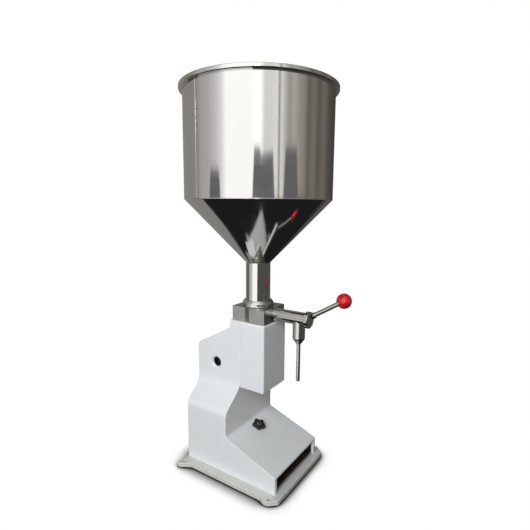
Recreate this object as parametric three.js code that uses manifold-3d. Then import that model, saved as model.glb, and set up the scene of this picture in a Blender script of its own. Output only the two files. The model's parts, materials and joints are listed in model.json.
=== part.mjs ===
// A hand-worked piston liquid filler: a stainless hopper over a rotary three-way valve, a vertical
// piston pump in a painted cast casing, a front spout, and two ball levers.
// Millimetres, +Z up, front towards -Y. The origin is on the floor under the hopper's axis.

import * as THREE from 'three';
import { mergeVertices } from 'three/addons/utils/BufferGeometryUtils.js';
import { ConvexGeometry } from 'three/addons/geometries/ConvexGeometry.js';
import Module from 'manifold-3d';

const wasm = await Module();
wasm.setup();

// ---------------------------------------------------------------- driving dimensions

const SEAT_GAP = 0.3; // air left between two pieces that touch
const RUNNING_GAP = 0.1; // radial air between a turning or sliding piece and its bore
const ROUND = 20; // sides of an ordinary round piece
const SMALL_ROUND = 12; // sides of a screw or another small round piece
const HOPPER_ROUND = 48; // sides of the hopper

const PLATE_TOP = 10; // base plate thickness
const WALL = 6; // casting wall

const BODY_HALF = 41.5; // upper casing, half its width
const BODY_FRONT = 18;
const BODY_REAR = 136;
const BODY_TOP = 331;
const SLOPE_FRONT = { y: 44, z: 314 }; // sloping roof behind the valve block
const SLOPE_REAR_Z = 264;
const SHOULDER_FRONT_Z = 186;
const SHOULDER_REAR_Z = 174;
const FOOT_HALF = 87; // lower casing, half its width
const FOOT_FRONT = 21;
const FOOT_REAR = 129;
const FOOT_TOP = 142.5;
const RAMP_FRONT = { y: -102, z: 46.5 }; // drip ramp under the nozzle
const RAMP_BACK = { y: FOOT_FRONT, z: 90 };
const RAMP_WALL = 5.3;

const HOUSING_HALF = 43; // front housing round the cylinder
const HOUSING_FRONT = -44;
const HOUSING_WALL = 5.5;
const HOUSING_CHAMFER = 2.5;

const BLOCK_HALF = 40; // valve block
const BLOCK_REAR_HALF = 35;
const BLOCK_DEPTH = 42; // front and rear faces, from the axis
const BLOCK_TOP = 361.7;
const SPOOL_Z = 348; // spool axis, along Y
const SPOOL_R = 8.4;
const TUBE_R = 13.4;
const CAP_FRONT = -126;
const CAP_BACK = -117.6;
const CAP_R = 16.8;
const VALVE_LEVER_ROOT = -115; // where the valve lever's line meets the spool's axis
const VALVE_LEVER_TILT = THREE.MathUtils.degToRad(34); // forward, out of the cap's plane
const VALVE_LEVER_RISE = THREE.MathUtils.degToRad(24); // above level
const VALVE_LEVER_REACH = 92.5; // from its root to the middle of its ball
const VALVE_ROD_R = 4.7;
const BALL_R = 16;
const NOZZLE_Y = -100.7;
const NOZZLE_TIP = 216;

const NECK_R = 26; // hopper
const NECK_TOP = 454.3;
const BARREL_R = 151;
const BARREL_FOOT = 584.3;
const RIM_FOOT = 792;
const RIM_TOP = 800;
const RIM_R = 158.5;
const SHEET = 1.5;

const SHAFT_Y = 83.5; // cross-shaft that works the piston
const SHAFT_Z = 228;
const SHAFT_R = 8.9;
const BUSH_R = 13;
const BOSS_R = 19; // boss inside each side wall that carries a bush
const BOSS_INNER = 20; // inner end of a boss, from the middle
const WALL_HOLE_R = 11; // hole through the wall outside the bush
const SWING = THREE.MathUtils.degToRad(15); // rocker half swing
const PIN_R = 6;
const PIN_Z = SHAFT_Z + SHAFT_Y * Math.tan(SWING); // crosshead pin with the piston up
const PISTON_R = 18.9;
const PISTON_FOOT = 314;
const PISTON_TOP = 328;
const CYLINDER_FOOT = 268;
const CYLINDER_R = 23;
const LEVER_REACH = 228; // drive lever, from the shaft to its ball
const LEVER_LEAN = THREE.MathUtils.degToRad(8);
const LEVER_HUB_X = 53;
const LEVER_BALL_X = 82;

// ---------------------------------------------------------------- solids

// A closed geometry as a solid: shared corners are merged, slivers of no area are dropped, and
// the faces are turned over if they point in.
function toSolid(geometry) {
  const bare = geometry.clone();
  bare.deleteAttribute('normal');
  bare.deleteAttribute('uv');
  const merged = mergeVertices(bare, 1e-4);
  const index = merged.index.array;
  const place = merged.attributes.position;
  const corners = [0, 1, 2].map(() => new THREE.Vector3());
  const faces = [];
  let volume = 0;
  for (let i = 0; i < index.length; i += 3) {
    const [a, b, c] = [index[i], index[i + 1], index[i + 2]];
    if (a === b || b === c || c === a) continue;
    faces.push([a, b, c]);
    [a, b, c].forEach((corner, k) => corners[k].fromBufferAttribute(place, corner));
    volume += corners[0].dot(corners[1].cross(corners[2]));
  }
  const outward = volume > 0 ? faces : faces.map(([a, b, c]) => [a, c, b]);
  const mesh = new wasm.Mesh({
    numProp: 3,
    vertProperties: new Float32Array(place.array),
    triVerts: new Uint32Array(outward.flat()),
  });
  return new wasm.Manifold(mesh);
}

function toGeometry(solid) {
  const mesh = solid.getMesh();
  const geometry = new THREE.BufferGeometry();
  geometry.setAttribute('position', new THREE.BufferAttribute(mesh.vertProperties, 3));
  geometry.setIndex(new THREE.BufferAttribute(mesh.triVerts, 1));
  geometry.computeVertexNormals();
  return geometry;
}

const joined = (...solids) => solids.reduce((whole, next) => whole.add(next));
const cut = (body, ...tools) => tools.reduce((rest, tool) => rest.subtract(tool), body);

function box(x0, x1, y0, y1, z0, z1) {
  const geometry = new THREE.BoxGeometry(x1 - x0, y1 - y0, z1 - z0);
  return toSolid(geometry.translate((x0 + x1) / 2, (y0 + y1) / 2, (z0 + z1) / 2));
}

// Turns a geometry whose own axis is Y so that the axis lies along X, Y or Z.
function alongAxis(geometry, axis) {
  if (axis === 'x') geometry.rotateZ(-Math.PI / 2);
  if (axis === 'z') geometry.rotateX(Math.PI / 2);
  return geometry;
}

// A plain round bar from one end to the other along an axis, centred on the point `at`.
function bar(axis, radius, from, to, at = [0, 0, 0], sides = ROUND) {
  const geometry = alongAxis(new THREE.CylinderGeometry(radius, radius, to - from, sides), axis);
  const middle = new THREE.Vector3(...at);
  middle[axis] += (from + to) / 2;
  return toSolid(geometry.translate(middle.x, middle.y, middle.z));
}

// A turned piece: a profile of [radius, height] points that closes on the axis or on itself.
function turned(axis, profile, at = [0, 0, 0], sides = ROUND) {
  const section = profile.map(([radius, height]) => new THREE.Vector2(radius, height));
  const geometry = alongAxis(new THREE.LatheGeometry(section, sides), axis);
  return toSolid(geometry.translate(...at));
}

// A turned ring with a square section.
function ring(axis, inner, outer, from, to, at, sides = ROUND) {
  const profile = [[inner, from], [outer, from], [outer, to], [inner, to], [inner, from]];
  return turned(axis, profile, at, sides);
}

function outline(points) {
  return new THREE.Shape(points.map(([a, b]) => new THREE.Vector2(a, b)));
}

// A side outline in Y and Z, carried across the machine between two X positions.
function acrossX(shape, x0, x1) {
  const geometry = new THREE.ExtrudeGeometry(shape, {
    depth: x1 - x0,
    bevelEnabled: false,
    curveSegments: 12,
  });
  const turn = new THREE.Matrix4().makeBasis(
    new THREE.Vector3(0, 1, 0),
    new THREE.Vector3(0, 0, 1),
    new THREE.Vector3(1, 0, 0),
  );
  return toSolid(geometry.applyMatrix4(turn).translate(x0, 0, 0));
}

// A plan outline in X and Y, carried up between two heights.
function upZ(shape, z0, z1) {
  const geometry = new THREE.ExtrudeGeometry(shape, {
    depth: z1 - z0,
    bevelEnabled: false,
    curveSegments: 12,
  });
  return toSolid(geometry.translate(0, 0, z0));
}

function hull(points) {
  return toSolid(new ConvexGeometry(points.map((point) => new THREE.Vector3(...point))));
}

// Four corners of a level rectangle that is symmetric about the machine's middle.
function level(half, y0, y1, z) {
  return [[-half, y0, z], [half, y0, z], [half, y1, z], [-half, y1, z]];
}

// A round bar between two points of space.
function strut(radius, from, to, sides = ROUND) {
  const start = new THREE.Vector3(...from);
  const end = new THREE.Vector3(...to);
  const along = end.clone().sub(start);
  const geometry = new THREE.CylinderGeometry(radius, radius, along.length(), sides);
  const up = new THREE.Vector3(0, 1, 0);
  geometry.applyQuaternion(new THREE.Quaternion().setFromUnitVectors(up, along.normalize()));
  const middle = start.add(end).multiplyScalar(0.5);
  return toSolid(geometry.translate(middle.x, middle.y, middle.z));
}

// An O-ring round an axis through the point `at`.
function oRing(axis, middleRadius, cord, at) {
  const geometry = new THREE.TorusGeometry(middleRadius, cord, 6, ROUND);
  if (axis === 'y') geometry.rotateX(Math.PI / 2);
  return toSolid(geometry.translate(...at));
}

function ball(centre) {
  return toSolid(new THREE.SphereGeometry(BALL_R, 16, 12).translate(...centre));
}

// The bore that leaves a round piece its running gap, allowing for the flats of the faceted wall.
const boreFor = (radius) => (radius + RUNNING_GAP) / Math.cos(Math.PI / ROUND);

// ---------------------------------------------------------------- finishes

const FINISH = {
  paint: { color: 0xe4e7ea, roughness: 0.4, metalness: 0 },
  polished: { color: 0xd2d4d6, roughness: 0.08, metalness: 1 },
  satin: { color: 0xb4b6b4, roughness: 0.35, metalness: 1 },
  steel: { color: 0xa8abae, roughness: 0.3, metalness: 1 },
  bronze: { color: 0x8a6a3c, roughness: 0.4, metalness: 1 },
  dark: { color: 0x26282a, roughness: 0.5, metalness: 0.2 },
  rubber: { color: 0x1c1c1e, roughness: 0.8, metalness: 0 },
  red: { color: 0xc01818, roughness: 0.15, metalness: 0 },
};

const filler = new THREE.Group();

function addPart(name, solid, finish, parent = filler) {
  const mesh = new THREE.Mesh(toGeometry(solid), new THREE.MeshStandardMaterial(FINISH[finish]));
  mesh.name = name;
  parent.add(mesh);
  return mesh;
}

// ---------------------------------------------------------------- base plate and its screws

const MOUNT_HOLES = [[101, -98], [-101, -98], [107, 124], [-107, 124]];
const MOUNT_HOLE_R = 4.3;
const SCREW_HOLE_R = 3.3; // clearance hole of an M6 screw
const SCREW_SHANK_R = 2.9;
const BASE_SCREWS = [[73, -60], [-73, -60], [73, 112], [-73, 112]];

function basePlate() {
  const right = [[94, -115], [109, -98], [109, -88], [104, -78], [104, 104], [118, 126], [118, 134]];
  const left = right.map(([x, y]) => [-x, y]).reverse();
  const plate = upZ(outline([...right, ...left]), 0, PLATE_TOP);
  const holes = MOUNT_HOLES.map(([x, y]) => bar('z', MOUNT_HOLE_R, -1, PLATE_TOP + 1, [x, y, 0], SMALL_ROUND));
  const sinks = BASE_SCREWS.map(([x, y]) =>
    turned('z', [
      [0, -1], [6.6, -1], [6.6, 1], [SCREW_HOLE_R, 4.4], [SCREW_HOLE_R, PLATE_TOP + 1], [0, PLATE_TOP + 1],
    ], [x, y, 0], SMALL_ROUND));
  return cut(plate, ...holes, ...sinks);
}

function baseScrew([x, y]) {
  const profile = [
    [0, 0.6], [6.2, 0.6], [6.2, 0.9], [SCREW_SHANK_R, 4.2], [SCREW_SHANK_R, 26], [0, 26],
  ];
  return turned('z', profile, [x, y, 0], SMALL_ROUND);
}

addPart('base_plate', basePlate(), 'paint');
BASE_SCREWS.forEach((place, i) => addPart(`base_screw_${i + 1}`, baseScrew(place), 'steel'));

// ---------------------------------------------------------------- main casing

const CLAMP_SCREWS = [[28, -29], [-28, -29], [28, 29], [-28, 29]];
const COVER_SCREWS = [[31.5, 180], [-31.5, 180], [31.5, 257], [-31.5, 257]];
const RAMP_ANGLE = Math.atan2(RAMP_BACK.z - RAMP_FRONT.z, RAMP_BACK.y - RAMP_FRONT.y);
const KNOB_Y = -2;
const KNOB_Z = RAMP_BACK.z - (RAMP_BACK.y - KNOB_Y) * Math.tan(RAMP_ANGLE);

// A point on the knob's axis, `height` above the ramp.
function aboveRamp(height) {
  return [0, KNOB_Y - height * Math.sin(RAMP_ANGLE), KNOB_Z + height * Math.cos(RAMP_ANGLE)];
}

// The hole that a clamp screw passes through, from under the cylinder's flange into the block.
function clampHole([x, y]) {
  return bar('z', SCREW_HOLE_R, 310, 347, [x, y, 0], SMALL_ROUND);
}

function casingOutside() {
  const casingFoot = PLATE_TOP + SEAT_GAP;
  const body = acrossX(outline([
    [BODY_FRONT, FOOT_TOP],
    [BODY_REAR, FOOT_TOP + 2],
    [BODY_REAR, SLOPE_REAR_Z],
    [SLOPE_FRONT.y, SLOPE_FRONT.z],
    [SLOPE_FRONT.y, BODY_TOP],
    [BODY_FRONT, BODY_TOP],
  ]), -BODY_HALF, BODY_HALF);
  const shoulder = hull([
    [-BODY_HALF, BODY_FRONT, SHOULDER_FRONT_Z],
    [BODY_HALF, BODY_FRONT, SHOULDER_FRONT_Z],
    [-BODY_HALF, BODY_REAR, SHOULDER_REAR_Z],
    [BODY_HALF, BODY_REAR, SHOULDER_REAR_Z],
    ...level(FOOT_HALF, FOOT_FRONT, FOOT_REAR, FOOT_TOP),
  ]);
  const foot = acrossX(outline([
    [FOOT_REAR, casingFoot],
    [FOOT_REAR, FOOT_TOP],
    [FOOT_FRONT, FOOT_TOP],
    [RAMP_BACK.y, RAMP_BACK.z],
    [RAMP_FRONT.y, RAMP_FRONT.z],
    [RAMP_FRONT.y, casingFoot],
  ]), -FOOT_HALF, FOOT_HALF);
  return joined(body, shoulder, foot);
}

function casingHollow() {
  const bodyHalf = BODY_HALF - WALL;
  const footHalf = FOOT_HALF - WALL;
  const roofDrop = 6.8;
  const roofSlope = (SLOPE_FRONT.z - SLOPE_REAR_Z) / (BODY_REAR - SLOPE_FRONT.y);
  const roof = (y) => SLOPE_FRONT.z - roofDrop - roofSlope * (y - SLOPE_FRONT.y);
  const sill = SHOULDER_FRONT_Z + WALL;
  const body = acrossX(outline([
    [BODY_FRONT + WALL, 150],
    [BODY_REAR - WALL, 150],
    [BODY_REAR - WALL, roof(BODY_REAR - WALL)],
    [SLOPE_FRONT.y - WALL, roof(SLOPE_FRONT.y - WALL)],
    [SLOPE_FRONT.y - WALL, BODY_TOP - WALL],
    [BODY_FRONT - 1, BODY_TOP - WALL],
    [BODY_FRONT - 1, sill],
    [BODY_FRONT + WALL, sill],
  ]), -bodyHalf, bodyHalf);
  const shoulder = hull([
    [-bodyHalf, BODY_FRONT + WALL, SHOULDER_FRONT_Z - 4],
    [bodyHalf, BODY_FRONT + WALL, SHOULDER_FRONT_Z - 4],
    [-bodyHalf, BODY_REAR - WALL, SHOULDER_REAR_Z - 3],
    [bodyHalf, BODY_REAR - WALL, SHOULDER_REAR_Z - 3],
    ...level(footHalf, FOOT_FRONT + WALL, FOOT_REAR - WALL, FOOT_TOP - 3),
  ]);
  const foot = acrossX(outline([
    [FOOT_REAR - WALL, 9],
    [FOOT_REAR - WALL, FOOT_TOP - 2.9],
    [FOOT_FRONT + WALL, FOOT_TOP - 2.9],
    [FOOT_FRONT + WALL, RAMP_BACK.z - RAMP_WALL + WALL * Math.tan(RAMP_ANGLE)],
    [RAMP_FRONT.y + WALL, RAMP_FRONT.z - RAMP_WALL + WALL * Math.tan(RAMP_ANGLE)],
    [RAMP_FRONT.y + WALL, 9],
  ]), -footHalf, footHalf);
  return joined(body, shoulder, foot);
}

// A boss on the inside of a side wall that carries one shaft bush, and the bore through it.
function shaftBoss(side) {
  const at = [0, SHAFT_Y, SHAFT_Z];
  const [inner, outer] = side < 0 ? [1 - BODY_HALF, -BOSS_INNER] : [BOSS_INNER, BODY_HALF - 1];
  return bar('x', BOSS_R, inner, outer, at);
}

// The bore: a bush seat from inside, and a smaller hole out through the wall with radius
// `mouth` at the outer face.
function shaftBossBore(side, mouth) {
  const seatEnd = BODY_HALF - WALL;
  const outside = BODY_HALF + 1;
  const profile = [
    [0, BOSS_INNER - 1],
    [BUSH_R + SEAT_GAP, BOSS_INNER - 1],
    [BUSH_R + SEAT_GAP, seatEnd],
    [WALL_HOLE_R, seatEnd],
    [WALL_HOLE_R, BODY_HALF - 3.5],
    [mouth, outside],
    [0, outside],
  ];
  return turned('x', profile.map(([radius, x]) => [radius, side * x]), [0, SHAFT_Y, SHAFT_Z]);
}

function mainCasing() {
  const postTop = 44;
  const posts = BASE_SCREWS.map(([x, y]) => {
    const reach = Math.sign(x) * (FOOT_HALF - 2);
    const post = bar('z', 7.5, PLATE_TOP + SEAT_GAP, postTop, [x, y, 0], SMALL_ROUND);
    const rib = box(Math.min(x, reach), Math.max(x, reach), y - 5, y + 5, PLATE_TOP + SEAT_GAP, postTop);
    return joined(post, rib);
  });
  const shell = cut(casingOutside(), casingHollow());
  const whole = joined(shell, ...posts, shaftBoss(-1), shaftBoss(1));
  const tools = [
    ...BASE_SCREWS.map(([x, y]) => bar('z', SCREW_HOLE_R, 9, 28, [x, y, 0], SMALL_ROUND)),
    ...COVER_SCREWS.map(([x, z]) => bar('y', 2.2, 128, 138, [x, 0, z], SMALL_ROUND)),
    ...CLAMP_SCREWS.slice(2).map(clampHole),
    shaftBossBore(-1, 15.5),
    shaftBossBore(1, WALL_HOLE_R),
    bar('z', CYLINDER_R + SEAT_GAP, 320, 335),
    box(-79, 79, -110, -92, 5, 42.5),
    box(-28, 28, 125, 140, 184, 253),
    strut(4.4, aboveRamp(-9), aboveRamp(3), SMALL_ROUND),
  ];
  return cut(whole, ...tools);
}

addPart('main_casing', mainCasing(), 'paint');

function rearCover() {
  const plate = box(-35.5, 35.5, BODY_REAR + SEAT_GAP, BODY_REAR + 3.3, 175.5, 261.5);
  return cut(plate, ...COVER_SCREWS.map(([x, z]) => bar('y', 2.5, 130, 145, [x, 0, z], SMALL_ROUND)));
}

// A round-headed screw from behind, in a cover hole.
function coverScrew([x, z]) {
  const profile = [[0, 131], [1.9, 131], [1.9, 139.6], [3.8, 139.6], [3.3, 141.4], [0, 142]];
  return turned('y', profile, [x, 0, z], SMALL_ROUND);
}

addPart('rear_cover', rearCover(), 'paint');
COVER_SCREWS.forEach((place, i) => addPart(`rear_cover_screw_${i + 1}`, coverScrew(place), 'steel'));

// ---------------------------------------------------------------- front housing

function frontHousing() {
  const back = BODY_FRONT - SEAT_GAP;
  const foot = SHOULDER_FRONT_Z;
  const chamferFoot = BODY_TOP - HOUSING_CHAMFER;
  const body = hull([
    ...level(HOUSING_HALF, HOUSING_FRONT, back, foot),
    ...level(HOUSING_HALF, HOUSING_FRONT, back, chamferFoot),
    ...level(HOUSING_HALF - HOUSING_CHAMFER, HOUSING_FRONT + HOUSING_CHAMFER, back, BODY_TOP),
  ]);
  const half = HOUSING_HALF - HOUSING_WALL;
  const hollow = box(-half, half, HOUSING_FRONT + HOUSING_WALL, back + 1, foot + 5, BODY_TOP - WALL);
  const screws = CLAMP_SCREWS.slice(0, 2).map(clampHole);
  return cut(body, hollow, bar('z', CYLINDER_R + SEAT_GAP, 320, 335), ...screws);
}

addPart('front_housing', frontHousing(), 'paint');

// ---------------------------------------------------------------- cylinder, piston and rocker

function cylinder() {
  const flange = box(-34, 34, -36, 36, 318.2, BODY_TOP - WALL - SEAT_GAP);
  const barrel = bar('z', CYLINDER_R, CYLINDER_FOOT, 329.2);
  const bore = bar('z', boreFor(PISTON_R + 0.15), CYLINDER_FOOT - 1, 331);
  const holes = CLAMP_SCREWS.map(clampHole);
  return cut(joined(barrel, flange), bore, ...holes);
}

addPart('cylinder', cylinder(), 'satin');
addPart('cylinder_gasket', ring('z', 19.6, 22.6, 329.5, 330.9, [0, 0, 0]), 'rubber');

// A socket-head screw that clamps the cylinder's flange and the casing roof to the valve block.
function clampScrew([x, y]) {
  const head = [[0, 314], [2.4, 314], [2.4, 312], [5, 312], [5, 317.9]];
  const shank = [[SCREW_SHANK_R, 317.9], [SCREW_SHANK_R, 345], [0, 345]];
  return turned('z', [...head, ...shank], [x, y, 0], SMALL_ROUND);
}

CLAMP_SCREWS.forEach((place, i) => addPart(`clamp_screw_${i + 1}`, clampScrew(place), 'steel'));

const SEAL_HEIGHTS = [318.7, 324.2];

function piston() {
  const grooves = SEAL_HEIGHTS.map((z) => ring('z', 16.4, 20, z - 1.5, z + 1.5, [0, 0, 0]));
  const body = bar('z', PISTON_R, PISTON_FOOT, PISTON_TOP);
  return cut(body, ...grooves, bar('z', 5.3, PISTON_FOOT - 1, 325));
}

addPart('piston', piston(), 'satin');
['piston_seal_lower', 'piston_seal_upper'].forEach((name, i) =>
  addPart(name, oRing('z', 17.85, 1.15, [0, 0, SEAL_HEIGHTS[i]]), 'rubber'));

// The rod, with the clevis that the rocker's slotted end works in.
function pistonRod() {
  const slotTop = PIN_Z + 15.4; // clear of the rocker's upper edge with the piston down
  const clevisTop = slotTop + 3.6;
  const clevis = box(-13, 13, -9, 9, PIN_Z - 10, clevisTop);
  const slot = box(-6.7, 6.7, -10, 10, PIN_Z - 11, slotTop);
  const rod = bar('z', 7, clevisTop - 1, PISTON_FOOT - SEAT_GAP);
  const stub = bar('z', 5, PISTON_FOOT - 1, 324);
  return cut(joined(clevis, rod, stub), slot, bar('x', PIN_R + SEAT_GAP, -14, 14, [0, 0, PIN_Z]));
}

addPart('piston_rod', pistonRod(), 'satin');
addPart('crosshead_pin', bar('x', PIN_R, -15.6, 15.6, [0, 0, PIN_Z]), 'steel');
for (const [name, side] of [['pin_clip_left', -1], ['pin_clip_right', 1]]) {
  const edges = [13.4 * side, 14.6 * side].sort((a, b) => a - b);
  addPart(name, ring('x', PIN_R + SEAT_GAP, 8.6, ...edges, [0, 0, PIN_Z]), 'steel');
}

const SHAFT_AXIS = [0, SHAFT_Y, SHAFT_Z];

function keySlot(gap) {
  const half = 2.5 + gap;
  return box(-8 - gap, 8 + gap, SHAFT_Y - half, SHAFT_Y + half, SHAFT_Z + 6.5 - gap, SHAFT_Z + 11.2 + gap);
}

function driveShaft() {
  return cut(bar('x', SHAFT_R, -31, 62, SHAFT_AXIS), keySlot(0.2));
}

// The rocker: a hub on the shaft and an arm whose slotted end carries the crosshead pin.
function rockerArm() {
  const near = SHAFT_Y - 0.5;
  const far = SHAFT_Y / Math.cos(SWING) + 0.6;
  const slotR = PIN_R + 0.7;
  const tipR = slotR + 5;
  const web = acrossX(outline([[-8, -10], [-8, 10], [-far, tipR], [-far, -tipR]]), -6, 6);
  const tip = bar('x', tipR, -6, 6, [0, -far, 0]);
  const hub = bar('x', 16.5, -9, 9);
  const slot = [
    bar('x', slotR, -7, 7, [0, -far, 0]),
    bar('x', slotR, -7, 7, [0, -near, 0]),
    box(-7, 7, -far, -near, -slotR, slotR),
  ];
  const geometry = toGeometry(cut(joined(web, tip, hub), ...slot));
  geometry.rotateX(-SWING).translate(0, SHAFT_Y, SHAFT_Z);
  return cut(toSolid(geometry), bar('x', SHAFT_R + SEAT_GAP, -10, 10, SHAFT_AXIS), keySlot(0.2));
}

addPart('drive_shaft', driveShaft(), 'steel');
addPart('rocker_arm', rockerArm(), 'dark');
addPart('rocker_key', keySlot(0), 'steel');
addPart('shaft_bush_left', ring('x', boreFor(SHAFT_R), BUSH_R, -35.2, -BOSS_INNER, SHAFT_AXIS), 'bronze');
addPart('shaft_bush_right', ring('x', boreFor(SHAFT_R), BUSH_R, BOSS_INNER, 35.2, SHAFT_AXIS), 'bronze');

// ---------------------------------------------------------------- drive lever

// A point on the drive lever, `reach` from the shaft along it.
function onLever(reach) {
  const share = reach / LEVER_REACH;
  return [
    LEVER_HUB_X + (LEVER_BALL_X - LEVER_HUB_X) * share,
    SHAFT_Y - reach * Math.sin(LEVER_LEAN),
    SHAFT_Z + reach * Math.cos(LEVER_LEAN),
  ];
}

function leverHub() {
  const hub = bar('x', 16, 43.3, 63, SHAFT_AXIS);
  const boss = strut(10, onLever(8), onLever(24));
  const screwHole = bar('z', 3.2, -20, -8, [LEVER_HUB_X, SHAFT_Y, SHAFT_Z], SMALL_ROUND);
  return cut(joined(hub, boss), bar('x', SHAFT_R + SEAT_GAP, 40, 70, SHAFT_AXIS),
    strut(6.3, onLever(9), onLever(40)), screwHole);
}

addPart('lever_hub', leverHub(), 'steel');
addPart('lever_set_screw', bar('z', 2.9, -15, -9.6, [LEVER_HUB_X, SHAFT_Y, SHAFT_Z], SMALL_ROUND), 'dark');
addPart('drive_lever_rod', strut(6, onLever(11), onLever(LEVER_REACH - 6)), 'steel');
const leverSocket = strut(6.3, onLever(LEVER_REACH - 30), onLever(LEVER_REACH - 5));
addPart('drive_lever_ball', cut(ball(onLever(LEVER_REACH)), leverSocket), 'dark');

// ---------------------------------------------------------------- valve block, spool and spout

const SPOOL_SEALS = [-37, 31];
const STUB_END = -122; // front end of the spool's stub, inside the cap

function valveBlock() {
  const right = [[BLOCK_HALF, -BLOCK_DEPTH], [BLOCK_HALF, -5], [BLOCK_REAR_HALF, 9]];
  const plan = [...right, [BLOCK_REAR_HALF, BLOCK_DEPTH]];
  const left = plan.map(([x, y]) => [-x, y]).reverse();
  const body = upZ(outline([...plan, ...left]), BODY_TOP + SEAT_GAP, BLOCK_TOP);
  const spoolBore = bar('y', boreFor(SPOOL_R), -50, 50, [0, 0, SPOOL_Z]);
  const topPort = bar('z', 7, SPOOL_Z, BLOCK_TOP + 1);
  const footPort = bar('z', 6, BODY_TOP - 1, SPOOL_Z);
  const screws = CLAMP_SCREWS.map(clampHole);
  return cut(body, spoolBore, topPort, footPort, ...screws);
}

addPart('valve_block', valveBlock(), 'satin');

// The spool: a round plug. Its drilled passage joins the cylinder's port to the nozzle; turned a
// quarter on, its flat joins the hopper's port to the cylinder's port.
function valveSpool() {
  const at = [0, 0, SPOOL_Z];
  const plug = turned('y', [
    [0, STUB_END], [5, STUB_END], [5, CAP_BACK + SEAT_GAP], [SPOOL_R, CAP_BACK + SEAT_GAP],
    [SPOOL_R, 42], [6, 42], [6, 49], [0, 49],
  ], at);
  const flat = box(-9, 9, -8, 8, SPOOL_Z + 5.2, SPOOL_Z + 9);
  const passage = bar('y', 4.2, NOZZLE_Y - 3, 4, at);
  const inlet = bar('z', 4.2, SPOOL_Z - 10, SPOOL_Z);
  const outlet = bar('z', 4.2, SPOOL_Z - 10, SPOOL_Z, [0, NOZZLE_Y, 0]);
  const grooves = SPOOL_SEALS.map((y) => ring('y', 7.1, 9, y - 0.9, y + 0.9, at));
  return cut(plug, flat, passage, inlet, outlet, ...grooves);
}

const SPOUT_BORE = boreFor(SPOOL_R);

function outletTube() {
  const at = [0, 0, SPOOL_Z];
  const front = CAP_BACK + SEAT_GAP;
  const back = -BLOCK_DEPTH - SEAT_GAP;
  return cut(ring('y', SPOUT_BORE, TUBE_R, front, back, at), bar('z', 5, SPOOL_Z - 20, SPOOL_Z, [0, NOZZLE_Y, 0]));
}

function nozzleBody() {
  const at = [0, NOZZLE_Y, 0];
  const taperTop = 306;
  const taperFoot = 295;
  const top = SPOOL_Z - 4;
  const body = turned('z', [[0, taperFoot], [4.6, taperFoot], [12.6, taperTop], [12.6, top], [0, top]], at);
  const saddle = bar('y', TUBE_R + SEAT_GAP, -130, -70, [0, 0, SPOOL_Z]);
  return cut(body, saddle, bar('z', 4.3, taperFoot - 1, 315, at), bar('z', 5, 300, top, at));
}

addPart('valve_spool', valveSpool(), 'satin');
SPOOL_SEALS.forEach((y, i) => {
  const name = ['spool_seal_front', 'spool_seal_rear'][i];
  addPart(name, oRing('y', 7.87, 0.6, [0, y, SPOOL_Z]), 'rubber');
});
addPart('outlet_tube', outletTube(), 'polished');
addPart('nozzle_body', nozzleBody(), 'polished');
addPart('nozzle_tube', ring('z', 2.9, 4, NOZZLE_TIP, 314, [0, NOZZLE_Y, 0], SMALL_ROUND), 'polished');

// A point on the valve lever's line, `reach` from its root.
function onValveLever(reach) {
  const across = reach * Math.cos(VALVE_LEVER_TILT);
  return [
    across * Math.cos(VALVE_LEVER_RISE),
    VALVE_LEVER_ROOT - reach * Math.sin(VALVE_LEVER_TILT),
    SPOOL_Z + across * Math.sin(VALVE_LEVER_RISE),
  ];
}

const BOSS_END = 22.5; // end of the cap's lever boss, along the lever

function spoolCap() {
  const at = [0, 0, SPOOL_Z];
  const edge = 0.8;
  const disc = turned('y', [
    [0, CAP_FRONT], [CAP_R - edge, CAP_FRONT], [CAP_R, CAP_FRONT + edge], [CAP_R, CAP_BACK], [0, CAP_BACK],
  ], at);
  const boss = strut(6.3, onValveLever(14), onValveLever(BOSS_END));
  const behind = bar('y', 30, CAP_BACK, CAP_BACK + 12, at);
  const stubHole = bar('y', 5.3, STUB_END - 0.4, CAP_BACK + 1, at);
  const leverHole = strut(3.2, onValveLever(13), onValveLever(BOSS_END + 2), SMALL_ROUND);
  return cut(joined(disc, boss), behind, stubHole, leverHole);
}

// The lever's rod, with a thinner end that screws into the cap.
function valveLeverRod() {
  const end = strut(2.9, onValveLever(13.4), onValveLever(BOSS_END + 2), SMALL_ROUND);
  const rod = strut(VALVE_ROD_R, onValveLever(BOSS_END + SEAT_GAP), onValveLever(VALVE_LEVER_REACH - 5));
  return joined(end, rod);
}

function hexNut(axis, acrossCorners, bore, from, to, at) {
  return cut(bar(axis, acrossCorners, from, to, at, 6), bar(axis, bore, from - 1, to + 1, at));
}

addPart('spool_cap', spoolCap(), 'polished');
addPart('spool_nut', hexNut('y', 10.5, 6.3, 42.6, 48, [0, 0, SPOOL_Z]), 'steel');
addPart('valve_lever_rod', valveLeverRod(), 'steel');
const valveSocket = strut(
  VALVE_ROD_R + SEAT_GAP, onValveLever(VALVE_LEVER_REACH - 20), onValveLever(VALVE_LEVER_REACH - 4.7));
addPart('valve_lever_ball', cut(ball(onValveLever(VALVE_LEVER_REACH)), valveSocket), 'red');

// ---------------------------------------------------------------- hopper

addPart('hopper_gasket', ring('z', 11, 25.6, BLOCK_TOP + SEAT_GAP, 363.6, [0, 0, 0]), 'rubber');
const collar = ring('z', NECK_R + SEAT_GAP, 33, BLOCK_TOP + SEAT_GAP, 374.5, [0, 0, 0]);
addPart('hopper_collar', collar, 'polished');
addPart('hopper_neck', ring('z', NECK_R - SHEET, NECK_R, 363.9, NECK_TOP, [0, 0, 0]), 'polished');

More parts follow.
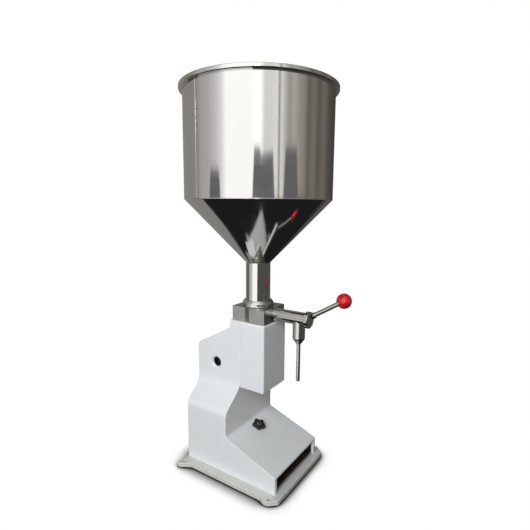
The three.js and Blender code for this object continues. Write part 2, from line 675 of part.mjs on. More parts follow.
function hopperCone() {
  const foot = NECK_TOP + SEAT_GAP;
  const top = BARREL_FOOT - SEAT_GAP;
  const slant = Math.hypot(BARREL_R - NECK_R, top - foot);
  const inset = (SHEET * slant) / (top - foot);
  const profile = [
    [NECK_R - inset, foot], [NECK_R, foot], [BARREL_R, top], [BARREL_R - inset, top], [NECK_R - inset, foot],
  ];
  return turned('z', profile, [0, 0, 0], HOPPER_ROUND);
}

addPart('hopper_cone', hopperCone(), 'polished');
const barrelTop = RIM_FOOT - SEAT_GAP;
const barrel = ring('z', BARREL_R - SHEET, BARREL_R, BARREL_FOOT, barrelTop, [0, 0, 0], HOPPER_ROUND);
addPart('hopper_barrel', barrel, 'polished');

// The rim: a rolled-steel ring with a rebate that the lid drops into.
function hopperRim() {
  const inner = BARREL_R - SHEET;
  const rebate = RIM_TOP - 2.6;
  const profile = [
    [inner, RIM_FOOT], [RIM_R, RIM_FOOT], [RIM_R, RIM_TOP],
    [153.1, RIM_TOP], [153.1, rebate], [inner, rebate], [inner, RIM_FOOT],
  ];
  return turned('z', profile, [0, 0, 0], HOPPER_ROUND);
}

addPart('hopper_rim', hopperRim(), 'polished');

function hopperLid() {
  const sheet = bar('z', 152.7, RIM_TOP - 2.3, RIM_TOP - 0.5, [0, 0, 0], HOPPER_ROUND);
  return cut(sheet, bar('z', 3.3, RIM_TOP - 5, RIM_TOP + 2, [0, 0, 0], SMALL_ROUND));
}

function lidKnob() {
  const foot = RIM_TOP - 0.2;
  const profile = [
    [0, foot], [11, foot], [8, foot + 9], [8, foot + 14], [17, foot + 22],
    [17.5, foot + 26], [14, foot + 31], [7, foot + 33], [0, foot + 33.4],
  ];
  return cut(turned('z', profile), bar('z', 3.3, foot - 1, foot + 16, [0, 0, 0], SMALL_ROUND));
}

function lidScrew() {
  const headTop = RIM_TOP - 2.6;
  const profile = [
    [0, headTop - 3], [5.5, headTop - 2.6], [5.5, headTop], [2.9, headTop],
    [2.9, RIM_TOP + 15], [0, RIM_TOP + 15],
  ];
  return turned('z', profile, [0, 0, 0], SMALL_ROUND);
}

addPart('hopper_lid', hopperLid(), 'polished');
addPart('lid_knob', lidKnob(), 'dark');
addPart('lid_screw', lidScrew(), 'steel');

// ---------------------------------------------------------------- clamp knob on the ramp

const knobSeat = new THREE.Group();
knobSeat.position.set(0, KNOB_Y, KNOB_Z);
knobSeat.rotation.x = RAMP_ANGLE;
filler.add(knobSeat);

// A five-lobed hand knob, drawn on its own axis with the ramp's surface at zero.
function starKnob() {
  const lobes = 5;
  const lobe = new THREE.Shape();
  const steps = 40;
  for (let i = 0; i < steps; i += 1) {
    const turn = (2 * Math.PI * i) / steps;
    const radius = 13.2 + 2.4 * Math.cos(lobes * turn);
    const point = [radius * Math.cos(turn), radius * Math.sin(turn)];
    if (i === 0) lobe.moveTo(...point);
    else lobe.lineTo(...point);
  }
  lobe.closePath();
  const head = upZ(lobe, 2.5, 10.5);
  const foot = bar('z', 8, SEAT_GAP, 4);
  const bore = bar('z', 4.3, -1, 8.4, [0, 0, 0], SMALL_ROUND);
  const recess = bar('z', 6.3, 8.8, 12, [0, 0, 0], SMALL_ROUND);
  return cut(joined(head, foot), bore, recess);
}

addPart('ramp_knob', starKnob(), 'dark', knobSeat);
addPart('ramp_knob_insert', bar('z', 6, 9.1, 10.9, [0, 0, 0], SMALL_ROUND), 'steel', knobSeat);
const stud = [[0, -8.4], [7, -8.4], [7, -5.4], [4, -5.4], [4, 8], [0, 8]];
addPart('ramp_knob_stud', turned('z', stud, [0, 0, 0], SMALL_ROUND), 'steel', knobSeat);

export default filler;
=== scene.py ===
# %% [markdown]
# # A hand-worked piston liquid filler
# A stainless hopper feeds a rotary valve, a lever-driven piston draws the liquid down into a
# vertical cylinder, and the valve's red lever sends it out through the front spout.
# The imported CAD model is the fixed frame: it says where every piece is and how it moves.
# Blender's share is the finished surface, so most shown pieces are computed again as smooth
# meshes on the same places, and the CAD solid behind each one is kept only for collision.

# %% Load the frame
import json
import math

import bpy
import numpy as np
from mathutils import Matrix, Vector


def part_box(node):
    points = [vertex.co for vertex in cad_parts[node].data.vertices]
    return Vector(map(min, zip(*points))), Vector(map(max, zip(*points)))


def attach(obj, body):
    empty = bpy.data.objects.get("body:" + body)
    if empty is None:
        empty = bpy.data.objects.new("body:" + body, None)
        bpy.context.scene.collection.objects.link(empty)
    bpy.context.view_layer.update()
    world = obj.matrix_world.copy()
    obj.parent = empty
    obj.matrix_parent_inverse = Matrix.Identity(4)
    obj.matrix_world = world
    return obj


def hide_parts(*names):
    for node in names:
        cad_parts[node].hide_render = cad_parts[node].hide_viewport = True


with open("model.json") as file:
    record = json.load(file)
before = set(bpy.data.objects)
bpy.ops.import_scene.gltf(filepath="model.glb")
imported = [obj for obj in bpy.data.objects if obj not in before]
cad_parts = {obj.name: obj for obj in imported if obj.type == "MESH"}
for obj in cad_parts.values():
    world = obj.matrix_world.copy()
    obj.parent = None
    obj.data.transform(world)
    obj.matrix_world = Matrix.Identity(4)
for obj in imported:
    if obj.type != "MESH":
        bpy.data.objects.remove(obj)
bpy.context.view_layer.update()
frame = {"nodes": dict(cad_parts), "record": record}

MM = 0.001

# %% [markdown]
# ## Camera
# The view is a plain perspective one from the machine's left and front, a little above its
# middle. It is written as an azimuth round the hopper's axis, a downward tilt and a distance.

# %% The camera
AZIMUTH = math.radians(-56.431)
TILT = math.radians(8.286)
ROLL = math.radians(0.467)
DISTANCE = 841.8 * MM
HEIGHT = 570.7 * MM
SIDESTEP = 14.3 * MM
LENS = 27.308

ahead_level = Vector((-math.sin(AZIMUTH), math.cos(AZIMUTH), 0))
side = Vector((math.cos(AZIMUTH), math.sin(AZIMUTH), 0))
ahead = ahead_level * math.cos(TILT) - Vector((0, 0, math.sin(TILT)))
upright = side.cross(ahead)
right = side * math.cos(ROLL) + upright * math.sin(ROLL)
up = upright * math.cos(ROLL) - side * math.sin(ROLL)

camera = bpy.data.objects.new("camera", bpy.data.cameras.new("camera"))
camera.data.sensor_width = 36
camera.data.lens = LENS
place = Matrix((right, up, -ahead)).transposed().to_4x4()
place.translation = side * SIDESTEP - ahead_level * DISTANCE + Vector((0, 0, HEIGHT))
camera.matrix_world = place
bpy.context.scene.collection.objects.link(camera)
bpy.context.scene.camera = camera
print("camera at", [round(v, 3) for v in place.translation])

# %% [markdown]
# ## Studio
# Polished steel shows only what stands around it, so the studio is one big softbox beside the
# camera and a room that is written down as what a mirror would see of it, bearing by bearing:
# white walls by the softbox, grey ones to the left, and a dark room far to the right. Matt
# surfaces are lit by the softbox and an even fill, and the camera itself sees plain white.

# %% Colour and shader helpers
def linear(hex_colour):
    """An sRGB hex colour as linear RGBA: the two-part sRGB curve, undone channel by channel."""
    channels = np.array([int(hex_colour[i:i + 2], 16) for i in (0, 2, 4)]) / 255
    low, high = channels / 12.92, ((channels + 0.055) / 1.055) ** 2.4
    return (*np.where(channels <= 0.04045, low, high).tolist(), 1.0)


def add_node(tree, kind, links=(), **settings):
    """Adds one node, sets its inputs or its own properties by name, and makes its links.

    A link is (input name, other node, other node's output name).
    """
    node = tree.nodes.new(kind)
    for name, value in settings.items():
        socket = name.replace("_", " ")
        if socket in node.inputs:
            node.inputs[socket].default_value = value
        else:
            setattr(node, name, value)
    for socket, other, output in links:
        tree.links.new(other.outputs[output], node.inputs[socket])
    return node


# %% The room as a mirror sees it
# Bearings run from the camera's own side of the machine: 0 is behind the camera, +90 to its
# right. Each row gives the tone that stands there; a ramp blends from one row to the next.
scene = bpy.context.scene
scene.view_settings.view_transform = "Standard"
ROOM = [
    (-180, "747372"), (-134, "7d7b79"), (-100, "878480"), (-92, "a19d9a"), (-78, "a7a4a2"),
    (-64, "bfbdbf"), (-54, "d8d7da"), (-47, "fefefe"), (4, "fefcfb"), (9, "d2d0cb"),
    (18, "cfd3d2"), (27, "dcdbd8"), (29.5, "7a7774"), (32, "d8d6d3"), (38, "b4b2b0"),
    (44, "94928f"), (52, "a5a19c"), (60, "918c86"), (68, "85807a"), (76, "605c56"),
    (86, "716e68"), (97, "57554f"), (110, "69655d"), (124, "4d4b45"), (143, "3c3c37"),
    (165, "3a3b37"), (180, "747372"),
]
# The height, in degrees, of the dark shapes that stand along the horizon.
SHAPES = [
    (-180, 0), (-76, 0), (-74, 5), (-58, 5), (-56, 0), (-8, 0), (-6, 8), (2, 8), (4, 7), (21, 7.5),
    (24, 1), (37, 1), (39, 8), (57, 8), (60, 1.5), (180, 0),
]
# How far below the horizon, in degrees, the walls' light still reaches down.
REACH_DOWN = [
    (-180, -48), (-129, -48), (-122, -3), (-98, -3), (-94, -26), (-50, -26), (-46, -24), (-10, -24),
    (-6, -3), (180, -3),
]
LAMP_GAIN = 1.55

world = bpy.data.worlds.new("studio")
scene.world = world
world.use_nodes = True
sky = world.node_tree
sky.nodes.clear()
direction = add_node(sky, "ShaderNodeTexCoord")
split = add_node(sky, "ShaderNodeSeparateXYZ", [("Vector", direction, "Generated")])


def sky_math(operation, first, second=None):
    """One step of arithmetic; each operand is a node and its output, or a number."""
    node = add_node(sky, "ShaderNodeMath", operation=operation)
    for index, operand in enumerate((first, second)):
        if isinstance(operand, tuple):
            sky.links.new(operand[0].outputs[operand[1]], node.inputs[index])
        elif operand is not None:
            node.inputs[index].default_value = operand
    return node, "Value"


def bearing_ramp(stops):
    """Colours round the compass: a ramp over (bearing + 180) / 360."""
    ramp = add_node(sky, "ShaderNodeValToRGB", [("Fac", bearing[0], "Value")])
    elements = ramp.color_ramp.elements
    while len(elements) < len(stops):
        elements.new(0.5)
    for element, (degrees, colour) in zip(elements, stops):
        element.position = (degrees + 180) / 360
        element.color = colour
    return ramp


def height_ramp(stops):
    """Elevations round the compass, each kept as a grey of (sin e + 1) / 2, and turned back to sin e."""
    greys = [(degrees, (*[(math.sin(math.radians(e)) + 1) / 2] * 3, 1.0)) for degrees, e in stops]
    doubled = sky_math("MULTIPLY", (bearing_ramp(greys), "Color"), 2.0)
    return sky_math("SUBTRACT", doubled, 1.0)


def above(line, soft):
    """1 where the direction's height is over the line, 0 where it is under, softly between."""
    over = sky_math("SUBTRACT", (split, "Z"), line)
    step = add_node(sky, "ShaderNodeMapRange", [("Value", *over)], interpolation_type="SMOOTHSTEP",
                    From_Min=-soft, From_Max=soft)
    return step, "Result"


minus_y = sky_math("MULTIPLY", (split, "Y"), -1.0)
heading = sky_math("ARCTAN2", (split, "X"), minus_y)
turns = sky_math("DIVIDE", heading, 2 * math.pi)
bearing = sky_math("FRACT", sky_math("ADD", turns, 0.5 - AZIMUTH / (2 * math.pi)))
walls = bearing_ramp([(degrees, linear(tone)) for degrees, tone in ROOM])
over_shapes = above(height_ramp(SHAPES), 0.012)
over_reach = above(height_ramp(REACH_DOWN), 0.05)
under_horizon = sky_math("SUBTRACT", 1.0, above(-0.005, 0.012))
lit = sky_math("MAXIMUM", over_shapes, sky_math("MULTIPLY", over_reach, under_horizon))
ground = add_node(sky, "ShaderNodeMix", [("Factor", *above(-0.42, 0.1))], data_type="RGBA",
                  A=linear("1a1a1d"), B=linear("4c4a47"))
dark = add_node(sky, "ShaderNodeMix", [("Factor", *above(-0.01, 0.02)), ("A", ground, "Result")],
                data_type="RGBA", B=linear("5f5e62"))
whole_room = add_node(sky, "ShaderNodeMix", [
    ("Factor", *lit), ("A", dark, "Result"), ("B", walls, "Color")], data_type="RGBA")
AMBIENT = 0.125
seen = add_node(sky, "ShaderNodeLightPath")
room = add_node(sky, "ShaderNodeBackground", [("Color", whole_room, "Result")], Strength=LAMP_GAIN)
fill = add_node(sky, "ShaderNodeBackground", Color=linear("fffbe8"), Strength=AMBIENT)
paper = add_node(sky, "ShaderNodeBackground", Color=linear("ffffff"), Strength=1.0)
indirect = add_node(sky, "ShaderNodeMixShader", [("Fac", seen, "Is Glossy Ray")])
sky.links.new(fill.outputs["Background"], indirect.inputs[1])
sky.links.new(room.outputs["Background"], indirect.inputs[2])
direct = add_node(sky, "ShaderNodeMixShader", [("Fac", seen, "Is Camera Ray")])
sky.links.new(indirect.outputs["Shader"], direct.inputs[1])
sky.links.new(paper.outputs["Background"], direct.inputs[2])
add_node(sky, "ShaderNodeOutputWorld", [("Surface", direct, "Shader")])
print("room stops:", len(ROOM), "ambient:", AMBIENT)

# %% Floor
# White paper that glows evenly, so it has no horizon. The glow fades where something stands
# close over it, which is the soft dark line of contact under the machine.
FLOOR_SIZE = 40
CONTACT = 60 * MM
floor_paint = bpy.data.materials.new("floor_paper")
floor_paint.use_nodes = True
paper_tree = floor_paint.node_tree
paper_tree.nodes.clear()
contact = add_node(paper_tree, "ShaderNodeAmbientOcclusion", samples=16, Distance=CONTACT)
fade = add_node(paper_tree, "ShaderNodeMapRange", [("Value", contact, "AO")],
                From_Min=0.66, From_Max=0.93, To_Min=0.02, To_Max=1.0)
glow = add_node(paper_tree, "ShaderNodeEmission", [("Strength", fade, "Result")], Color=linear("ffffff"))
add_node(paper_tree, "ShaderNodeOutputMaterial", [("Surface", glow, "Emission")])
half_floor = FLOOR_SIZE / 2
paper_sheet = bpy.data.meshes.new("floor")
floor_corners = [(a * half_floor, b * half_floor, 0) for a, b in ((-1, -1), (1, -1), (1, 1), (-1, 1))]
paper_sheet.from_pydata(floor_corners, [], [(0, 1, 2, 3)])
paper_sheet.materials.append(floor_paint)
floor = bpy.data.objects.new("floor", paper_sheet)
scene.collection.objects.link(floor)
floor.visible_glossy = False
floor.visible_diffuse = False
print("floor", FLOOR_SIZE, "m")


# %% Lights
def softbox(name, azimuth, elevation, distance, width, height, power, aim=(0, 0, 0.45)):
    """A rectangular light on a sphere round the machine, turned to face it."""
    a, e = math.radians(azimuth), math.radians(elevation)
    out = Vector((math.sin(a) * math.cos(e), -math.cos(a) * math.cos(e), math.sin(e)))
    light = bpy.data.lights.new(name, "AREA")
    light.shape = "RECTANGLE"
    light.size, light.size_y = width, height
    light.energy = power
    lamp = bpy.data.objects.new(name, light)
    scene.collection.objects.link(lamp)
    lamp.location = Vector(aim) + out * distance
    lamp.rotation_euler = out.to_track_quat("Z", "Y").to_euler()
    return lamp


key = softbox("key_softbox", -74.6, 25.7, 2.6, 1.5, 1.6, 68)
key.data.color = (0.94, 0.97, 1.0)
key.visible_glossy = False
sparkle = softbox("sparkle_lamp", -58, 18, 2.4, 0.22, 0.22, 3)
print("lights:", key.name, sparkle.name)

# %% [markdown]
# ## Materials
# Each finish starts from what the real surface is and how it was made. Patterns read Object
# coordinates, which are metres in the machine's own frame, so a scale of 1000 / size_in_mm
# puts one noise cell on that size.


# %% Material helpers
def finish(name, base, metallic, roughness, **extra):
    """A new material with one Principled shader; constants go straight on its sockets."""
    material = bpy.data.materials.new(name)
    material.use_nodes = True
    shader = material.node_tree.nodes["Principled BSDF"]
    shader.inputs["Base Color"].default_value = linear(base)
    shader.inputs["Metallic"].default_value = metallic
    shader.inputs["Roughness"].default_value = roughness
    for socket, value in extra.items():
        shader.inputs[socket.replace("_", " ")].default_value = value
    return material, shader


def grain(tree, size_mm, stretch=(1, 1, 1), detail=3.0):
    """Noise whose cells are size_mm across, drawn out along an axis by a stretch below 1."""
    where = add_node(tree, "ShaderNodeTexCoord")
    mapping = add_node(tree, "ShaderNodeMapping", [("Vector", where, "Object")], Scale=stretch)
    return add_node(tree, "ShaderNodeTexNoise", [("Vector", mapping, "Vector")],
                    Scale=1000 / size_mm, Detail=detail)


def roughen(shader, low, high, *cells, **more):
    """Spreads the middle range of a noise over the shader's roughness."""
    tree = shader.id_data
    spread = add_node(tree, "ShaderNodeMapRange", [("Value", grain(tree, *cells, **more), "Fac")],
                      From_Min=0.3, From_Max=0.7, To_Min=low, To_Max=high)
    tree.links.new(spread.outputs["Result"], shader.inputs["Roughness"])


def tint(shader, first, second, *cells, **more):
    """Blends two close colours through a noise."""
    tree = shader.id_data
    blend = add_node(tree, "ShaderNodeMix", [("Factor", grain(tree, *cells, **more), "Fac")],
                     data_type="RGBA", A=linear(first), B=linear(second))
    tree.links.new(blend.outputs["Result"], shader.inputs["Base Color"])
    return blend


def relief(shader, height_mm, strength, *cells, **more):
    """Turns a noise into shallow relief of a real height."""
    tree = shader.id_data
    bump = add_node(tree, "ShaderNodeBump", [("Height", grain(tree, *cells, **more), "Fac")],
                    Distance=height_mm * MM, Strength=strength)
    tree.links.new(bump.outputs["Normal"], shader.inputs["Normal"])


# %% White enamel on cast iron
# Sprayed alkyd enamel, stoved: a cool white, semi-gloss skin that pulls into a faint orange
# peel about 3 mm across and shows the casting's slow undulation in its highlights.
enamel, shader = finish("white_stoved_enamel", "e9ebee", 0.0, 0.34, Coat_Weight=0.25, Coat_Roughness=0.12)
tint(shader, "e4e6ea", "eeefef", 70)
roughen(shader, 0.3, 0.42, 25)
relief(shader, 0.02, 0.6, 3.2, detail=1.0)

# %% Plate enamel, painted shade and cast iron
# The base plate's enamel is greyer and duller than the casing's, and it stops at the casing:
# the part that the casing covers is bare iron, painted dark brown as the shade under the casing.
# Inside the castings there is no enamel, only sand-cast iron, rough to the 2 mm sand grain and
# painted nearly black as the shade inside them.
plate_enamel_and_shade, shader = finish("plate_enamel_with_painted_shade", "cfcfcb", 0.0, 0.42, Coat_Weight=0.1)
plate_grey_tint = tint(shader, "c6c6c0", "dcdcd9", 18)
tree = shader.id_data
where = add_node(tree, "ShaderNodeSeparateXYZ", [
    ("Vector", add_node(tree, "ShaderNodeTexCoord"), "Object")])
sideways = add_node(tree, "ShaderNodeMath", [("Value", where, "X")], operation="ABSOLUTE")
# The painted shade patch is 1 and the enamel 0, across 3 mm at the casing's side walls and 8 mm
# at its open front.
between_walls = add_node(tree, "ShaderNodeMapRange", [("Value", sideways, "Value")],
                         From_Min=0.081, From_Max=0.084, To_Min=1.0, To_Max=0.0)
behind_front = add_node(tree, "ShaderNodeMapRange", [("Value", where, "Y")],
                        From_Min=-0.092, From_Max=-0.1, To_Min=1.0, To_Max=0.0)
painted_shade_patch = add_node(tree, "ShaderNodeMath", [("Value", between_walls, "Result")], operation="MULTIPLY")
tree.links.new(behind_front.outputs["Result"], painted_shade_patch.inputs[1])
# Painted shade: dark brown where the casing covers the plate, standing in for the shade inside it.
plate_colour = add_node(tree, "ShaderNodeMix", [("Factor", painted_shade_patch, "Value"), ("A", plate_grey_tint, "Result")],
                        data_type="RGBA", B=linear("2f2620"))
tree.links.new(plate_colour.outputs["Result"], shader.inputs["Base Color"])
roughen(shader, 0.36, 0.55, 9)
relief(shader, 0.06, 0.6, 4, detail=2.0)

# Nearly black: bare cast iron, with the shade inside the casing painted into its colour.
iron_and_painted_shade, shader = finish("cast_iron_with_painted_shade", "1e1a17", 0.2, 0.75)
tint(shader, "151210", "2b2622", 8)
relief(shader, 0.15, 1.0, 2.0)

# %% Mirror-polished stainless
# Type 304 sheet, rolled and buffed to a mirror. The buffing wheel runs round the hopper and
# leaves long shallow waves, so reflections stay sharp but bend a little.
mirror_steel, shader = finish("mirror_stainless_304", "cfcecc", 1.0, 0.07)
tint(shader, "c9c8c6", "d6d5d3", 120, (1, 1, 0.4))
roughen(shader, 0.05, 0.1, 14, (0.3, 0.3, 1.0))
relief(shader, 0.35, 0.35, 90, (1, 1, 0.35), 1.0)

# %% Ground stainless
# A milled and ground block: its grinding grit leaves a fine even tooth that scatters light, so
# it reads as plain grey metal. The true 0.3 mm tooth is drawn at 1 mm so that it shows.
ground_steel, shader = finish("ground_stainless", "b4b4b1", 1.0, 0.36)
tint(shader, "a6a6a2", "c2c2be", 9)
roughen(shader, 0.3, 0.44, 6)
relief(shader, 0.02, 0.5, 1.0, (1, 0.3, 1))

# %% Turned and polished stainless
# Lathe-turned parts, buffed after: mirror bright, with fine rings left across the work.
turned_steel, shader = finish("turned_stainless", "bdbdba", 1.0, 0.14)
roughen(shader, 0.1, 0.2, 3)
relief(shader, 0.006, 0.5, 1.2, (0.2, 1, 0.2))

# %% Bright bolt steel, blackened steel and bronze
# Zinc-plated fasteners, oil-blackened forgings and oil-filled sintered bushes: the first is
# pale and a little cloudy, the second nearly black with a soft sheen, the third brown and matt.
bolt_steel, shader = finish("zinc_plated_steel", "b4b7bb", 1.0, 0.3)
roughen(shader, 0.22, 0.4, 4)

black_steel, shader = finish("oil_blackened_steel", "1d1e20", 0.7, 0.42)
tint(shader, "17181a", "26272a", 8)
roughen(shader, 0.36, 0.5, 5)

bush_bronze, shader = finish("sintered_bronze", "5a4024", 1.0, 0.5)
tint(shader, "463119", "6d4f2e", 1.5)
relief(shader, 0.02, 1.0, 0.8)

# %% Red phenolic, black plastic and rubber
# The valve lever's ball is moulded phenolic, tumbled to a wet-looking gloss. The knobs and the
# drive lever's ball are black plastic, faintly textured by the mould. Seals are nitrile rubber.
red_phenolic, shader = finish("red_phenolic", "d00d1a", 0.0, 0.16, Coat_Weight=0.4, Coat_Roughness=0.05)
tint(shader, "c80a16", "d8141f", 16)
roughen(shader, 0.12, 0.22, 5)

black_plastic, shader = finish("moulded_black_plastic", "191a1b", 0.0, 0.38)
tint(shader, "151617", "222324", 12)
relief(shader, 0.015, 1.0, 0.7)

nitrile, shader = finish("nitrile_rubber", "161617", 0.0, 0.7)
roughen(shader, 0.6, 0.8, 2)

SLOT_FINISH = {
    "white_paint": enamel,
    "polished_steel": mirror_steel,
    "satin_steel": ground_steel,
    "bright_steel": bolt_steel,
    "black_steel": black_steel,
    "bush_bronze": bush_bronze,
    "seal_rubber": nitrile,
    "red_ball": red_phenolic,
    "black_knob": black_plastic,
}
print("finishes:", sorted(m.name for m in SLOT_FINISH.values()))

# %% [markdown]
# ## Carried-over CAD pieces
# Pieces that are out of sight, or whose facets are too small to see, keep their CAD mesh and
# only get the right finish from their slot in the record.

# %% Finish the CAD nodes
node_slot = {row["node"]: row["material_slot"] for row in frame["record"]["subparts"]}
for name, node in frame["nodes"].items():
    for slot in node.material_slots:
        slot.material = SLOT_FINISH[node_slot[name]]
print("carried over:", len(node_slot))

# %% [markdown]
# ## Turned pieces
# Most of the machine is round, so one function does the work of a lathe: a profile of radius
# and height, swept once round an axis. A corner that a turner would break with a file gets a
# small curve, and two extra points beside it so that the smooth shading stays on the curve
# and leaves the long faces straight.


# %% Profiles
def eased(points, radius, closed=False, steps=5):
    """Rounds each corner of an outline with a quadratic curve that leaves both edges smoothly.

    With P the corner and a, b the points `reach` away along its two edges, the curve is
    (1-t)^2 a + 2t(1-t) P + t^2 b. One more point on each edge, 1.6 reach away, holds the flat.
    """
    points = np.asarray(points, float)
    before = np.roll(points, 1, axis=0) - points
    after = np.roll(points, -1, axis=0) - points
    length_before = np.linalg.norm(before, axis=1, keepdims=True)
    length_after = np.linalg.norm(after, axis=1, keepdims=True)
    reach = np.minimum(np.broadcast_to(radius, (len(points),))[:, None],
                       0.3 * np.minimum(length_before, length_after))
    a = points + before / np.maximum(length_before, 1e-12) * reach
    b = points + after / np.maximum(length_after, 1e-12) * reach
    t = np.linspace(0, 1, steps)[None, :, None]
    curve = (1 - t) ** 2 * a[:, None] + 2 * t * (1 - t) * points[:, None] + t ** 2 * b[:, None]
    hold_a = points + (a - points) * 1.6
    hold_b = points + (b - points) * 1.6
    corners = np.concatenate([hold_a[:, None], curve, hold_b[:, None]], axis=1)
    if closed:
        return corners.reshape(-1, points.shape[1])
    inner = corners[1:-1].reshape(-1, points.shape[1])
    return np.concatenate([points[:1], inner, points[-1:]])


def grid_faces(rows, columns, wrap_rows=False, start=0, flip=False):
    """Quads of a grid whose columns always join round; rows join too when wrap_rows is set."""
    i = np.arange(rows if wrap_rows else rows - 1)
    j = np.arange(columns)
    i, j = np.meshgrid(i, j, indexing="ij")
    i2, j2 = (i + 1) % rows, (j + 1) % columns
    quads = np.stack([i * columns + j, i * columns + j2, i2 * columns + j2, i2 * columns + j], -1)
    quads = quads.reshape(-1, 4) + start
    return (quads[:, ::-1] if flip else quads).tolist()


def cap_faces(start, columns, centre, flip):
    """A fan of triangles from one ring to a single middle point."""
    j = np.arange(columns)
    ring = np.stack([start + j, start + (j + 1) % columns, np.full(columns, centre)], -1)
    return (ring[:, ::-1] if flip else ring).tolist()


SHARP = math.radians(38)


def make_piece(name, vertices, faces, material, body=None, node=None, slot=None):
    """Puts points in millimetres and faces into one mesh, shades it and names it.

    A piece that stands for a CAD node hides that node. The slot argument is not used.
    """
    mesh = bpy.data.meshes.new(name)
    mesh.from_pydata(vertices * MM, [], faces)
    mesh.materials.append(material)
    mesh.shade_smooth()
    mesh.set_sharp_from_angle(angle=SHARP)
    piece = bpy.data.objects.new(name, mesh)
    scene.collection.objects.link(piece)
    if body:
        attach(piece, body)
    if node:
        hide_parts(node)
    return piece


def lathe(profile, axis, centre, sides=96, closed=False):
    """Vertices and faces of a profile turned round an axis.

    A profile point (r, h) at angle t goes to centre + r cos t u + r sin t v + h w, with w along
    the axis. An open profile starts and ends on the axis, and those ends become single points.
    """
    u, v, w = {"x": ((0, 1, 0), (0, 0, 1), (1, 0, 0)), "y": ((0, 0, 1), (1, 0, 0), (0, 1, 0)),
               "z": ((1, 0, 0), (0, 1, 0), (0, 0, 1))}[axis] if isinstance(axis, str) else axis
    u, v, w, centre = (np.array(value, float) for value in (u, v, w, centre))
    t = np.linspace(0, 2 * np.pi, sides, endpoint=False)
    around = np.cos(t)[:, None] * u + np.sin(t)[:, None] * v
    profile = np.asarray(profile, float)
    turned = profile if closed else profile[1:-1]
    rings = turned[:, 0, None, None] * around + turned[:, 1, None, None] * w + centre
    if closed:
        return outward(rings.reshape(-1, 3), grid_faces(len(turned), sides, wrap_rows=True))
    return closed_stack(rings, profile[[0, -1], 1, None] * w + centre)


def outward(vertices, faces):
    """Turns every face over if the closed shape's signed volume is negative."""
    triangles = np.array([(f[0], f[i], f[i + 1]) for f in faces for i in range(1, len(f) - 1)])
    a, b, c = (vertices[triangles[:, k]] for k in range(3))
    volume = np.einsum("ij,ij->", a - vertices.mean(0), np.cross(b - vertices.mean(0), c - vertices.mean(0)))
    return vertices, faces if volume > 0 else [face[::-1] for face in faces]


def closed_stack(rings, poles=None):
    """A stack of rings closed by a fan at each end, to its pole or to the end ring's middle."""
    rows, columns = rings.shape[:2]
    poles = rings[[0, -1]].mean(1) if poles is None else poles
    count = rows * columns
    faces = grid_faces(rows, columns) + cap_faces(0, columns, count, flip=True)
    faces += cap_faces(count - columns, columns, count + 1, flip=False)
    return outward(np.concatenate([rings.reshape(-1, 3), poles]), faces)


def span(node):
    """A CAD node's lowest and highest corners as two arrays, in millimetres."""
    low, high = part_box(node)
    return np.array(low) / MM, np.array(high) / MM


def middle(node):
    return sum(span(node)) / 2


# %% [markdown]
# ## Hopper
# The hopper is rolled sheet: barrel, cone and neck are bent round, welded along their edges
# and polished until the welds are only a faint raised line. The rim is a heavier ring, rolled
# over so that it has no cutting edge. Each is a closed section, as thick as the real sheet.

# %% Rim, barrel, cone and neck
SHEET = 1.5
HOPPER_SIDES = 256
rim_low, rim_high = span("hopper_rim")
barrel_low, barrel_high = span("hopper_barrel")
cone_low, cone_high = span("hopper_cone")
neck_low, neck_high = span("hopper_neck")
rim_r, barrel_r, neck_r = rim_high[0], barrel_high[0], neck_high[0]
ON_AXIS = (0, 0, 0)

lid_seat = (span("hopper_lid")[1][0] + 0.4, span("hopper_lid")[0][2] - 0.3)
rim_inner = barrel_r - SHEET
rim_section = eased([
    (rim_inner, rim_low[2]), (rim_r, rim_low[2]), (rim_r, rim_high[2]),
    (lid_seat[0], rim_high[2]), lid_seat, (rim_inner, lid_seat[1]),
], [0.4, 2.6, 2.6, 0.5, 0.3, 0.4], closed=True, steps=7)
make_piece("hopper_rim_ring", *lathe(rim_section, "z", ON_AXIS, HOPPER_SIDES, closed=True), mirror_steel,
           "frame", "hopper_rim")


def sheet_section(foot, top):
    """The four corners of a straight run of sheet, from its foot to its top, both outside."""
    foot, top = np.array(foot), np.array(top)
    run = (top - foot) / np.linalg.norm(top - foot)
    level_inward = np.array([-SHEET / run[1], 0])
    return [foot, top, top + level_inward, foot + level_inward]


for name, foot, top in (
    ("hopper_barrel", (barrel_r, barrel_low[2]), (barrel_r, barrel_high[2])),
    ("hopper_cone", (neck_r, cone_low[2]), (barrel_r, cone_high[2])),
    ("hopper_neck", (neck_r, neck_low[2]), (neck_r, neck_high[2])),
):
    section = eased(sheet_section(foot, top), 0.25, closed=True, steps=3)
    make_piece(f"{name}_sheet", *lathe(section, "z", ON_AXIS, HOPPER_SIDES, closed=True), mirror_steel,
               "frame", name)
print("hopper radius", round(rim_r, 1), "mm")

# %% [markdown]
# ### Welds
# Where two sheets meet, the weld is ground flush and polished, which leaves a bead a few tenths
# of a millimetre proud. It also closes the hairline between the two rings.


# %% Weld beads
def weld_ring(name, radius, height, bead):
    """A thin ring of round section, wide as `bead`, sunk so that only its crown stands out."""
    t = np.linspace(0, 2 * np.pi, 12, endpoint=False)
    section = np.stack([radius - 0.35 * bead + bead * 0.5 * np.cos(t), height + bead * np.sin(t)], -1)
    return make_piece(name, *lathe(section, "z", ON_AXIS, HOPPER_SIDES, closed=True), mirror_steel, "frame",
                      slot="polished_steel")


weld_ring("weld_barrel_to_cone", barrel_r, (barrel_low[2] + cone_high[2]) / 2, 1.0)
weld_ring("weld_cone_to_neck", neck_r, (cone_low[2] + neck_high[2]) / 2, 1.2)
weld_ring("weld_rim_to_barrel", barrel_r, (rim_low[2] + barrel_high[2]) / 2, 1.0)


